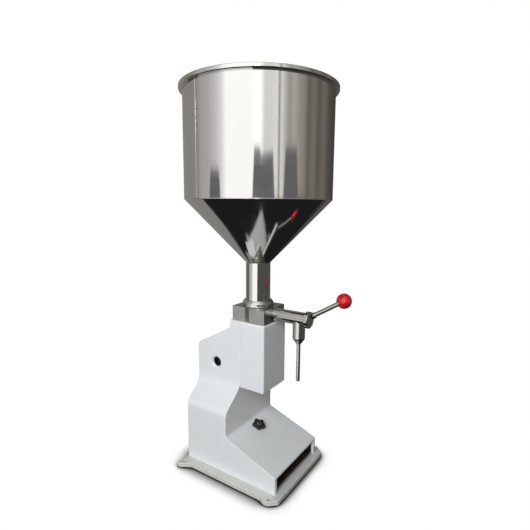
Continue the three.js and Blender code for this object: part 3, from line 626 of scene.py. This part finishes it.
# %% Long seam of the barrel
# The rolled sheet is closed by one upright weld, a low ridge with an elliptical section.
SEAM_BEARING = math.radians(-104)
outwards = np.array((math.sin(SEAM_BEARING), -math.cos(SEAM_BEARING), 0))
sidewards = np.array((math.cos(SEAM_BEARING), math.sin(SEAM_BEARING), 0))
t = np.linspace(0, 2 * np.pi, 16, endpoint=False)
section = (outwards * (barrel_r + 0.4 * np.sin(t))[:, None] + sidewards * (1.3 * np.cos(t))[:, None])
seam_heights = np.linspace(barrel_low[2] + 1, barrel_high[2] - 1, 9)
seam_rings = section[None] + np.array((0, 0, 1)) * seam_heights[:, None, None]
make_piece("weld_barrel_seam", *closed_stack(seam_rings), mirror_steel, "frame", slot="polished_steel")
print("seam", round(seam_heights[-1] - seam_heights[0]), "mm")

# %% Collar and lid
collar_low, collar_high = span("hopper_collar")
collar_section = eased([
    (neck_r + 0.2, collar_low[2]), (collar_high[0], collar_low[2]),
    (collar_high[0], collar_high[2] - 5), (collar_high[0] - 3.5, collar_high[2]),
    (neck_r + 0.2, collar_high[2]),
], 0.7, closed=True)
make_piece("hopper_collar_nut", *lathe(collar_section, "z", ON_AXIS, 128, closed=True), turned_steel,
           "frame", "hopper_collar")

lid_low, lid_high = span("hopper_lid")
lid_r = lid_high[0]
lid_profile = [
    (0, lid_low[2]), (lid_r * 0.93, lid_low[2]), (lid_r, lid_low[2]), (lid_r, lid_high[2]),
    (lid_r * 0.93, lid_high[2]), (0, lid_high[2]),
]
make_piece("hopper_lid_plate", *lathe(eased(lid_profile, 0.5), "z", ON_AXIS, 192), mirror_steel,
           "lid", "hopper_lid")

knob_low, knob_high = span("lid_knob")
knob_foot, knob_top, knob_r = knob_low[2], knob_high[2], knob_high[0]
knob_profile = [
    (0, knob_foot), (11, knob_foot), (8, knob_foot + 8), (8, knob_foot + 14),
    (knob_r - 2, knob_foot + 19), (knob_r, knob_foot + 25),
    (knob_r - 5, knob_top - 1), (0, knob_top),
]
make_piece("lid_knob_turned", *lathe(eased(knob_profile, 3, steps=9), "z", ON_AXIS, 96),
           black_plastic, "lid", "lid_knob")
print("lid rests at", round(lid_low[2], 1), "mm")

# %% [markdown]
# ## Castings
# The casing changes its section all the way up: a wide foot with a sloping ramp, a shoulder, a
# narrow column and a sloping roof. Every level slice of it is still a rectangle with rounded
# corners, so the skin is a stack of such rings. Only four numbers change with height: the half
# width, the front and the back, and a tilt that lifts the shoulder's front above its back.
# The wall's inside is the same stack, drawn smaller, and holes are cut through afterwards.


# %% Stacked rounded rectangles
def rounded_rings(levels, corner, arc=7):
    """Rings of a stack. A level is (height, half width, front y, back y, tilt).

    Each corner is a quarter circle about a centre one corner radius inside both sides. A
    point's height is its level plus tilt times how far forward of the middle it lies, from -1
    to 1.
    """
    height, half, front, back, tilt = np.asarray(levels, float).T
    radius = np.minimum(np.broadcast_to(corner, height.shape), 0.45 * np.minimum(2 * half, back - front))
    quarter = np.linspace(0, np.pi / 2, arc)
    corners = [(1, 1, 0), (-1, 1, 1), (-1, -1, 2), (1, -1, 3)]
    columns = []
    for sign_x, sign_y, turn in corners:
        angle = quarter + turn * np.pi / 2
        centre_x = sign_x * (half - radius)
        centre_y = np.where(sign_y > 0, back - radius, front + radius)
        x = centre_x[:, None] + radius[:, None] * np.cos(angle)
        y = centre_y[:, None] + radius[:, None] * np.sin(angle)
        columns.append(np.stack([x, y], -1))
    plan = np.concatenate(columns, axis=1)
    depth = (back - front)[:, None]
    forward = ((front + back)[:, None] - 2 * plan[..., 1]) / depth
    z = height[:, None] + tilt[:, None] * forward
    return np.concatenate([plan, z[..., None]], -1)


def shell_stack(outer, inner):
    """Two stacks joined at their lowest rings, each closed at its top: a hollow with a wall."""
    rows, columns = outer.shape[:2]
    first_inner = rows * columns
    last = first_inner + len(inner) * columns
    vertices = np.concatenate([outer.reshape(-1, 3), inner.reshape(-1, 3),
                               outer[-1].mean(0)[None], inner[-1].mean(0)[None]])
    j = np.arange(columns)
    j2 = (j + 1) % columns
    faces = grid_faces(rows, columns) + grid_faces(len(inner), columns, start=first_inner, flip=True)
    faces += np.stack([j, first_inner + j, first_inner + j2, j2], -1).tolist()
    faces += cap_faces(first_inner - columns, columns, last, flip=False)
    faces += cap_faces(last - columns, columns, last + 1, flip=True)
    return outward(vertices, faces)


def carve(piece, cutters, flat_faced=False):
    """Takes the cutters' shapes out of a piece, then drops the cutters.

    A flat-faced piece lets its large faces set the shading, so its rounded edges don't smear.
    """
    for cutter in cutters:
        knife = piece.modifiers.new("cut", "BOOLEAN")
        knife.operation, knife.solver, knife.object = "DIFFERENCE", "EXACT", cutter
    depsgraph = bpy.context.evaluated_depsgraph_get()
    mesh = bpy.data.meshes.new_from_object(piece.evaluated_get(depsgraph))
    piece.modifiers.clear()
    piece.data = mesh
    mesh.shade_smooth()
    mesh.set_sharp_from_angle(angle=SHARP)
    for cutter in cutters:
        bpy.data.objects.remove(cutter)
    if flat_faced:
        weighted = piece.modifiers.new("flat_faces_first", "WEIGHTED_NORMAL")
        weighted.keep_sharp = True
        weighted.weight = 60


def block_cutter(x0, x1, y0, y1, z0, z1, corner=1.0):
    """A millimetre box with slightly rounded upright corners, for carving."""
    rings = rounded_rings([(z0, (x1 - x0) / 2, y0, y1, 0), (z1, (x1 - x0) / 2, y0, y1, 0)], corner)
    rings[..., 0] += (x0 + x1) / 2
    return make_piece("cutter", *closed_stack(rings), enamel)


def round_cutter(axis, centre, profile, sides=64):
    return make_piece("cutter", *lathe(profile, axis, centre, sides), enamel)


def drill(axis, centre, radius, start, end, sides=48):
    """A plain round cutter along an axis."""
    return round_cutter(axis, centre, [(0, start), (radius, start), (radius, end), (0, end)], sides)


def is_inside(points, levels, depth=2.0):
    """Whether each point lies deeper than `depth` under the skin of a stack of levels."""
    levels = np.asarray(levels, float)
    half, front, back = (np.interp(points[:, 2], levels[:, 0], levels[:, k]) for k in (1, 2, 3))
    deep = np.stack([half - np.abs(points[:, 0]), points[:, 1] - front, back - points[:, 1],
                     levels[-1, 0] - points[:, 2]])
    return deep.min(0) > depth


# %% Main casing
# Levels run from the foot to the roof: height, half width, front, back, tilt.
shaft_axis = middle("shaft_bush_left") * (0, 1, 1)
casing_low, casing_high = span("main_casing")
FOOT_HALF, FOOT_FRONT, FOOT_BACK = casing_high[0], casing_low[1], 129
COLUMN_HALF, COLUMN_FRONT, COLUMN_BACK = 41.5, 18, casing_high[1]
ROOF_FRONT, ROOF_TOP = 44, casing_high[2]
OUTSIDE = [
    (casing_low[2], FOOT_HALF, FOOT_FRONT, FOOT_BACK, 0),
    (46.5, FOOT_HALF, FOOT_FRONT, FOOT_BACK, 0),
    (90, FOOT_HALF, 21, FOOT_BACK, 0),
    (142.5, FOOT_HALF, 21, FOOT_BACK, 0),
    (180, COLUMN_HALF, COLUMN_FRONT, COLUMN_BACK, 6),
    (264, COLUMN_HALF, COLUMN_FRONT, COLUMN_BACK, 0),
    (314, COLUMN_HALF, COLUMN_FRONT, ROOF_FRONT, 0),
    (ROOF_TOP, COLUMN_HALF, COLUMN_FRONT, ROOF_FRONT, 0),
]
WALL = 6
INSIDE = [(height, half - WALL, front + WALL, back - WALL, 5 if tilt else 0)
          for height, (_, half, front, back, tilt) in zip(
              (casing_low[2], 43.3, 86.8, 139, 174, 260, 309, ROOF_TOP - WALL), OUTSIDE)]
EDGE = 2.2
CLAMP_X, CLAMP_Y, CLAMP_HOLE_R = 28, 29, 3.3
CYLINDER_HOLE_R = 23.3
ROOF_CUT = 320, 335
outer_levels = eased(OUTSIDE, [2, 3, 5, 9, 14, 4, 5, 2], steps=7)
outer_rings = rounded_rings(outer_levels, EDGE)
inner_rings = rounded_rings(eased(INSIDE, 3, steps=3), 3.0)
top_inset = outer_rings[-1].copy()
outer_rings[-1, :, 2] -= 0.8
top_centre = top_inset.mean(0)
top_inset[:, :2] += (top_centre - top_inset)[:, :2] * 0.02
outer_rings = np.concatenate([outer_rings, top_inset[None]])
casing = make_piece("main_casing_skin", *shell_stack(outer_rings, inner_rings), enamel, "frame",
                    "main_casing")

# Faces inside the wall get the near-black iron, which paints the shade inside the casing.
casing.data.materials.append(iron_and_painted_shade)
centres = np.empty(len(casing.data.polygons) * 3)
casing.data.polygons.foreach_get("center", centres)
inside = is_inside(centres.reshape(-1, 3) / MM, outer_levels)
casing.data.polygons.foreach_set("material_index", inside.astype(np.int32))

wall_out, wall_in = COLUMN_HALF + 1, COLUMN_HALF - 8
shaft_hole = round_cutter("x", shaft_axis, [
    (0, -wall_out), (15.5, -wall_out), (11, -(COLUMN_HALF - 3.2)), (11, -wall_in), (0, -wall_in)])
carve(casing, [
    shaft_hole,
    drill("x", shaft_axis, 11, wall_in, wall_out),
    block_cutter(-79, 79, -112, -90, 5, 42.5, 0.8),
    block_cutter(-28, 28, 125, 142, 184, 253, 4),
    block_cutter(-35.5, 35.5, 10, 26, 192, 325, 2),
    drill("z", ON_AXIS, CYLINDER_HOLE_R, *ROOF_CUT),
    *[drill("z", (x, CLAMP_Y, 0), CLAMP_HOLE_R, *ROOF_CUT, 24) for x in (CLAMP_X, -CLAMP_X)],
], flat_faced=True)
print("casing faces:", len(casing.data.polygons))

# %% Front housing
housing_low, housing_high = span("front_housing")
housing_half, housing_front, housing_back = housing_high[0], housing_low[1], housing_high[1]
housing_levels = eased([
    (housing_low[2], housing_half - 1.5, housing_front + 1.5, housing_back - 1, 0),
    (housing_low[2] + 1.5, housing_half, housing_front, housing_back, 0),
    (housing_high[2] - 2.8, housing_half, housing_front, housing_back, 0),
    (housing_high[2], housing_half - 2.5, housing_front + 2.5, housing_back, 0),
], 0.8, steps=5)
housing_rings = rounded_rings(housing_levels, 3.2, arc=9)
housing = make_piece("front_housing_skin", *closed_stack(housing_rings), enamel, "frame", "front_housing")
carve(housing, [
    block_cutter(-37.5, 37.5, housing_front + 5.5, 30, 191, 325, 2),
    drill("z", ON_AXIS, CYLINDER_HOLE_R, *ROOF_CUT),
    *[drill("z", (x, -CLAMP_Y, 0), CLAMP_HOLE_R, *ROOF_CUT, 24) for x in (CLAMP_X, -CLAMP_X)],
], flat_faced=True)
print("housing faces:", len(housing.data.polygons))


# %% [markdown]
# ## Plates and the valve block
# Flat plates start as an outline drawn in plan. The outline's corners are eased, then it is
# carried up in a few rings, the first and last drawn in a little, which rounds the edges.


# %% Plates from an outline
def plate_rings(outline_mm, z0, z1, edge):
    """Rings of an outline in plan from z0 to z1, with both end rings pulled in by a small edge.

    A ring is pulled in along the outline's own normal, so the edge is even all round.
    """
    outline_mm = np.asarray(outline_mm, float)
    along = np.roll(outline_mm, -1, axis=0) - np.roll(outline_mm, 1, axis=0)
    normal = np.stack([along[:, 1], -along[:, 0]], -1)
    normal /= np.linalg.norm(normal, axis=1, keepdims=True)
    turn = np.linspace(0, np.pi / 2, 4)
    inset = np.concatenate([edge * (1 - np.sin(turn)), edge * (1 - np.cos(turn))])
    height = np.concatenate([z0 + edge * (1 - np.cos(turn)), z1 - edge * (1 - np.sin(turn))])
    plan = outline_mm[None] - normal[None] * inset[:, None, None]
    z = np.broadcast_to(height[:, None, None], (len(height), len(outline_mm), 1))
    return np.concatenate([plan, z], -1)


# %% Base plate
right_edge = [(94, -115), (109, -98), (109, -88), (104, -78), (104, 104), (118, 126), (118, 134)]
left_edge = [(-x, y) for x, y in reversed(right_edge)]
plate_outline = eased(right_edge + left_edge, 5, closed=True, steps=6)
plate_low, plate_high = span("base_plate")
base_rings = plate_rings(plate_outline, plate_low[2], plate_high[2], 1.4)
base = make_piece("base_plate_slab", *closed_stack(base_rings), plate_enamel_and_shade, "frame", "base_plate")
corner_holes = [(101, -98), (-101, -98), (107, 124), (-107, 124)]
# The plain holes are for bench bolts, the sunk ones for the screws that hold the casing.
countersink = [(0, -1), (6.6, -1), (6.6, 1), (3.3, 4.4), (3.3, 12), (0, 12)]
screw_axes = [middle(f"base_screw_{number}") * (1, 1, 0) for number in range(1, 5)]
carve(base, [drill("z", (x, y, 0), 4.3, -2, 12) for x, y in corner_holes]
      + [round_cutter("z", axis, countersink, 32) for axis in screw_axes], flat_faced=True)

# %% Rear cover
cover_low, cover_high = span("rear_cover")
cover_corners = [(cover_low[0], cover_low[2]), (cover_high[0], cover_low[2]),
                 (cover_high[0], cover_high[2]), (cover_low[0], cover_high[2])]
cover_rings = plate_rings(eased(cover_corners, 5, closed=True, steps=7), cover_low[1], cover_high[1], 0.8)
vertices, faces = closed_stack(cover_rings)
upright_plate = outward(vertices[:, [0, 2, 1]], faces)
cover = make_piece("rear_cover_plate", *upright_plate, enamel, "frame", "rear_cover")
cover_screws = [middle(f"rear_cover_screw_{number}") for number in range(1, 5)]
carve(cover, [drill("y", (x, 0, z), 2.5, 130, 145, 24) for x, _, z in cover_screws], flat_faced=True)

# %% Cover screws
# Pan-head screws: a domed head with a cross recess cut by two crossed blocks.
for number, (x, _, z) in enumerate(cover_screws, 1):
    profile = eased([(0, 131), (1.9, 131), (1.9, 139.7), (3.8, 139.7), (3.5, 141.2), (0, 142)], 0.5)
    screw = make_piece(f"cover_screw_{number}", *lathe(profile, "y", (x, 0, z), 32),
                       bolt_steel, "frame", f"rear_cover_screw_{number}")
    carve(screw, [block_cutter(x - 1.9, x + 1.9, 140.8, 143, z - 0.45, z + 0.45, 0.1),
                  block_cutter(x - 0.45, x + 0.45, 140.8, 143, z - 1.9, z + 1.9, 0.1)])

# %% Valve block
block_low, block_high = span("valve_block")
block_half, block_front, block_back = block_high[0], block_low[1], block_high[1]
block_right = [(block_half, block_front), (block_half, -5), (block_half - 5, 9), (block_half - 5, block_back)]
block_outline = block_right + [(-x, y) for x, y in reversed(block_right)]
spool_axis = middle("valve_spool") * (0, 0, 1)
SPOOL_Z = spool_axis[2]
SPOOL_BORE_R = 8.55
block_rings = plate_rings(eased(block_outline, 1.4, closed=True, steps=5), block_low[2], block_high[2], 0.45)
block = make_piece("valve_block_body", *closed_stack(block_rings), ground_steel, "frame", "valve_block")
carve(block, [drill("y", spool_axis, SPOOL_BORE_R, -50, 50, 64),
              drill("z", ON_AXIS, 7, SPOOL_Z, 365), drill("z", ON_AXIS, 6, 325, SPOOL_Z)]
      + [drill("z", (x, y, 0), CLAMP_HOLE_R, 325, 347, 24)
         for x in (-CLAMP_X, CLAMP_X) for y in (-CLAMP_Y, CLAMP_Y)], flat_faced=True)
print("block faces:", len(block.data.polygons))

# %% [markdown]
# ## Spout, nozzle and valve lever
# These are lathe work: the plain outlet tube, the cap that turns with the spool, the nozzle
# holder that tapers to the filling tube, and the lever with its ball.

# %% Outlet tube and nozzle
tube_low, tube_high = span("outlet_tube")
tube_r = tube_high[0]
tube_section = eased([
    (SPOOL_BORE_R, tube_low[1]), (tube_r, tube_low[1]), (tube_r, tube_high[1]), (SPOOL_BORE_R, tube_high[1]),
], [0.3, 0.8, 0.4, 0.3], closed=True)
tube = make_piece("outlet_tube_turned", *lathe(tube_section, "y", spool_axis, 96, closed=True),
                  turned_steel, "frame", "outlet_tube")
nozzle_axis = middle("nozzle_tube") * (0, 1, 0)
carve(tube, [drill("z", nozzle_axis, 5, 325, SPOOL_Z)])

holder_low, holder_high = span("nozzle_body")
holder_r = holder_high[0]
holder_profile = eased([
    (0, holder_low[2]), (4.7, holder_low[2]), (holder_r, 306), (holder_r, SPOOL_Z - 4), (0, SPOOL_Z - 4),
], [0, 0.8, 2.0, 0.5, 0])
holder = make_piece("nozzle_holder", *lathe(holder_profile, "z", nozzle_axis, 96), turned_steel,
                    "frame", "nozzle_body")
carve(holder, [drill("y", spool_axis, tube_r + 0.05, -130, -60, 96),
               drill("z", nozzle_axis, 4.1, 290, 350)])

tip_low, tip_high = span("nozzle_tube")
tip_section = eased([
    (2.9, tip_low[2]), (3.7, tip_low[2]), (4, tip_low[2] + 1), (4, tip_high[2]), (2.9, tip_high[2])],
    0.3, closed=True)
make_piece("filling_tube", *lathe(tip_section, "z", nozzle_axis, 64, closed=True), turned_steel,
           "frame", "nozzle_tube")

# %% Valve lever's line
# The lever leaves the cap forward, sideways and up. Its line starts on the spool's axis and
# ends in the ball's middle, and serves as the lathe's own axis for everything on it.
LEVER_ROOT = np.array((0, -115, SPOOL_Z))
ROD_R = 4.7
BALL_R = 16
BOSS_END = 22.5


def lever_frame(root, tip):
    """Three unit directions, the last along the lever, and the length from root to tip."""
    length = np.linalg.norm(tip - root)
    w = (tip - root) / length
    u = np.cross(w, (1, 0, 0))
    u /= np.linalg.norm(u)
    return (u, np.cross(w, u), w), length


def rod_profile(radius, start, end):
    return np.array(eased([(0, start), (radius, start), (radius, end), (0, end)], 0.8))


def ball_profile(centre, radius, flat, neck):
    """A ball's outline from its flat seat at the rod to its far pole, as one arc."""
    start = math.asin(flat / radius)
    t = np.linspace(-np.pi / 2 + start, np.pi / 2, 40)
    arc = np.stack([radius * np.cos(t), centre + radius * np.sin(t)], -1)
    arc[-1, 0] = 0
    seat = [(0, arc[0, 1] + 1), (neck, arc[0, 1] + 1), (neck, arc[0, 1])]
    return np.concatenate([seat, arc])


ball_low, ball_high = span("valve_lever_ball")
ball_middle = np.array((ball_high[0] - BALL_R, ball_low[1] + BALL_R, ball_high[2] - BALL_R))
valve_frame, valve_reach = lever_frame(LEVER_ROOT, ball_middle)
print("valve lever reach", round(valve_reach, 1), "mm")

# %% Spool cap
# A turned disc with a shallow dished face, and the short boss that the rod screws into.
cap_back = span("spool_cap")[1][1]
CAP_R = 16.8
CAP_FRONT = -126
cap_profile = eased([
    (0, CAP_FRONT + 0.5), (CAP_R - 4.3, CAP_FRONT + 0.5), (CAP_R - 3.7, CAP_FRONT),
    (CAP_R - 1.2, CAP_FRONT), (CAP_R, CAP_FRONT + 1.2), (CAP_R, cap_back), (0, cap_back),
], [0, 0.3, 0.3, 0.6, 0.6, 0.5, 0])
cap = make_piece("spool_cap_turned", *lathe(cap_profile, "y", spool_axis, 96), turned_steel, "valve",
                 "spool_cap")
carve(cap, [drill("y", spool_axis, 5.2, -122.4, -110),
            drill(valve_frame, LEVER_ROOT, 3.0, 13, 24)])
boss_profile = eased([(3.1, 16.6), (6.3, 16.6), (6.3, BOSS_END), (3.1, BOSS_END)], [0.1, 0.1, 0.7, 0.1],
                     closed=True)
make_piece("spool_cap_boss", *lathe(boss_profile, valve_frame, LEVER_ROOT, 64, closed=True),
           turned_steel, "valve", slot="polished_steel")

# %% Valve lever and ball
lever_profile = eased([
    (0, 13.4), (2.9, 13.4), (2.9, BOSS_END + 0.3), (ROD_R, BOSS_END + 0.3),
    (ROD_R, valve_reach - 5), (0, valve_reach - 5)], [0, 0.4, 0.1, 0.5, 0.5, 0])
make_piece("valve_lever_bar", *lathe(lever_profile, valve_frame, LEVER_ROOT, 64),
           turned_steel, "valve", "valve_lever_rod")
valve_ball = make_piece(
    "valve_ball", *lathe(ball_profile(valve_reach, BALL_R, 6.4, 5.2), valve_frame, LEVER_ROOT, 96),
    red_phenolic, "valve", "valve_lever_ball")
carve(valve_ball, [drill(valve_frame, LEVER_ROOT, ROD_R + 0.05, valve_reach - 30, valve_reach - 4.5)])


# %% Spool's end nut
# One closed section round the axis. The hexagon's radius at angle t is flat / cos(t mod 60
# degrees - 30), and the end rings stay inside a circle a little larger than the flats, which
# gives the nut its chamfer.
nut_low, nut_high = span("spool_nut")
NUT_CORNER_R, NUT_BORE, NUT_CHAMFER = 10.5, 6.15, 0.9
t = np.linspace(0, 2 * np.pi, 96, endpoint=False)
flat = NUT_CORNER_R * math.cos(math.pi / 6)
hexagon = flat / np.cos(np.mod(t, np.pi / 3) - np.pi / 6)
trimmed = np.minimum(hexagon, flat * 1.02)
bore = np.full_like(t, NUT_BORE)
nut_radii = np.stack([bore, trimmed, hexagon, hexagon, trimmed, bore])
nut_y = np.array([nut_low[1], nut_low[1], nut_low[1] + NUT_CHAMFER,
                  nut_high[1] - NUT_CHAMFER, nut_high[1], nut_high[1]])
nut_rings = np.stack([nut_radii * np.sin(t), np.broadcast_to(nut_y[:, None], nut_radii.shape),
                      nut_radii * np.cos(t)], -1) + spool_axis
nut_mesh = outward(nut_rings.reshape(-1, 3), grid_faces(6, len(t), wrap_rows=True))
nut = make_piece("spool_end_nut", *nut_mesh, bolt_steel, "valve", "spool_nut")
nut.data.set_sharp_from_angle(angle=math.radians(25))
print("spool nut from", round(nut_low[1], 1), "to", round(nut_high[1], 1), "mm")

# %% [markdown]
# ## Drive lever
# The drive lever stands on the right-hand end of the cross-shaft. Its line runs from the hub's
# middle to the ball's, and is the lathe's axis for the rod, the boss and the ball.

# %% Drive lever
HUB_X = 53
hub_left = span("lever_hub")[0][0]
drive_ball = middle("drive_lever_ball")
drive_ball[2] = span("drive_lever_ball")[1][2] - BALL_R
hub_centre = shaft_axis + (HUB_X, 0, 0)
lever_axis, lever_length = lever_frame(hub_centre, drive_ball)

hub_profile = eased([
    (9.1, hub_left), (16, hub_left), (16, 63), (9.1, 63)], [0.4, 1.5, 1.5, 0.6], closed=True)
make_piece("lever_hub_turned", *lathe(hub_profile, "x", shaft_axis, 96, closed=True), bolt_steel,
           "drive", "lever_hub")
boss_profile = eased([(0, 12), (10, 12), (10, 22), (8.4, 24.4), (0, 24.4)], 0.8)
boss = make_piece("lever_hub_boss", *lathe(boss_profile, lever_axis, hub_centre, 64), bolt_steel,
                  "drive", slot="bright_steel")
carve(boss, [drill(lever_axis, hub_centre, 6.1, 5, 30)])
make_piece("drive_lever_bar",
           *lathe(rod_profile(6, 11, lever_length - 7), lever_axis, hub_centre, 64), turned_steel,
           "drive", "drive_lever_rod")
drive_ball_piece = make_piece(
    "drive_ball", *lathe(ball_profile(lever_length, BALL_R, 7.5, 6.4), lever_axis, hub_centre, 96),
    black_plastic, "drive", "drive_lever_ball")
carve(drive_ball_piece, [drill(lever_axis, hub_centre, 6.05, 190, lever_length - 6)])
shaft_low, shaft_high = span("drive_shaft")
make_piece("cross_shaft", *lathe(rod_profile(8.9, shaft_low[0], shaft_high[0]), "x", shaft_axis, 64),
           black_steel, "drive", "drive_shaft")
print("drive lever length", round(lever_length, 1), "mm")

# %% [markdown]
# ## Ramp knob
# A five-lobed hand knob. Its radius is a circle plus a cosine of five times the angle, and the
# lobes fade towards its top and bottom, which rounds every edge the way a moulding does.

# %% Star knob
(ramp_foot, _, ramp_front, *_), (ramp_top, _, ramp_back, *_) = OUTSIDE[1:3]
ramp_slope = (ramp_top - ramp_foot) / (ramp_back - ramp_front)
ramp_angle = math.atan(ramp_slope)
KNOB_Y = -2
n = np.array((0, -math.sin(ramp_angle), math.cos(ramp_angle)))
knob_axis = (np.array((1, 0, 0)), np.cross(n, (1, 0, 0)), n)
knob_centre = np.array((0, KNOB_Y, ramp_top - (ramp_back - KNOB_Y) * ramp_slope))
KNOB_SIDES = 160
LOBES, LOBE_DEPTH = 5, 0.31
profile = eased([
    (4.15, 0.4), (8, 0.4), (8, 2.6), (15.5, 2.8), (15.5, 9.8), (10.5, 10.5), (6.2, 10.5), (6.2, 8.6),
    (4.15, 8.6)], [0.2, 0.4, 0.5, 1.8, 2.2, 0.5, 0.3, 0.2, 0.2], closed=True, steps=6)
t = np.linspace(0, 2 * np.pi, KNOB_SIDES, endpoint=False)
swell = np.clip((profile[:, :1] - 9) / 6.5, 0, 1)
lobed = 1 - LOBE_DEPTH * swell * (0.5 - 0.5 * np.cos(LOBES * t))[None]
radii = profile[:, :1] * lobed
u, v, w = knob_axis
around = np.cos(t)[:, None] * u + np.sin(t)[:, None] * v
rings = radii[..., None] * around + profile[:, 1, None, None] * w
knob_faces = grid_faces(len(profile), KNOB_SIDES, wrap_rows=True)
star = outward(rings.reshape(-1, 3) + knob_centre, knob_faces)
make_piece("ramp_star_knob", *star, black_plastic, "knob", "ramp_knob")
insert_profile = eased([(0, 8.9), (5.9, 8.9), (5.9, 10.7), (5.0, 11.2), (0, 11.2)], 0.4)
make_piece("ramp_knob_cap", *lathe(insert_profile, knob_axis, knob_centre, 64), turned_steel, "knob",
           "ramp_knob_insert")
print("knob lobes:", LOBES)
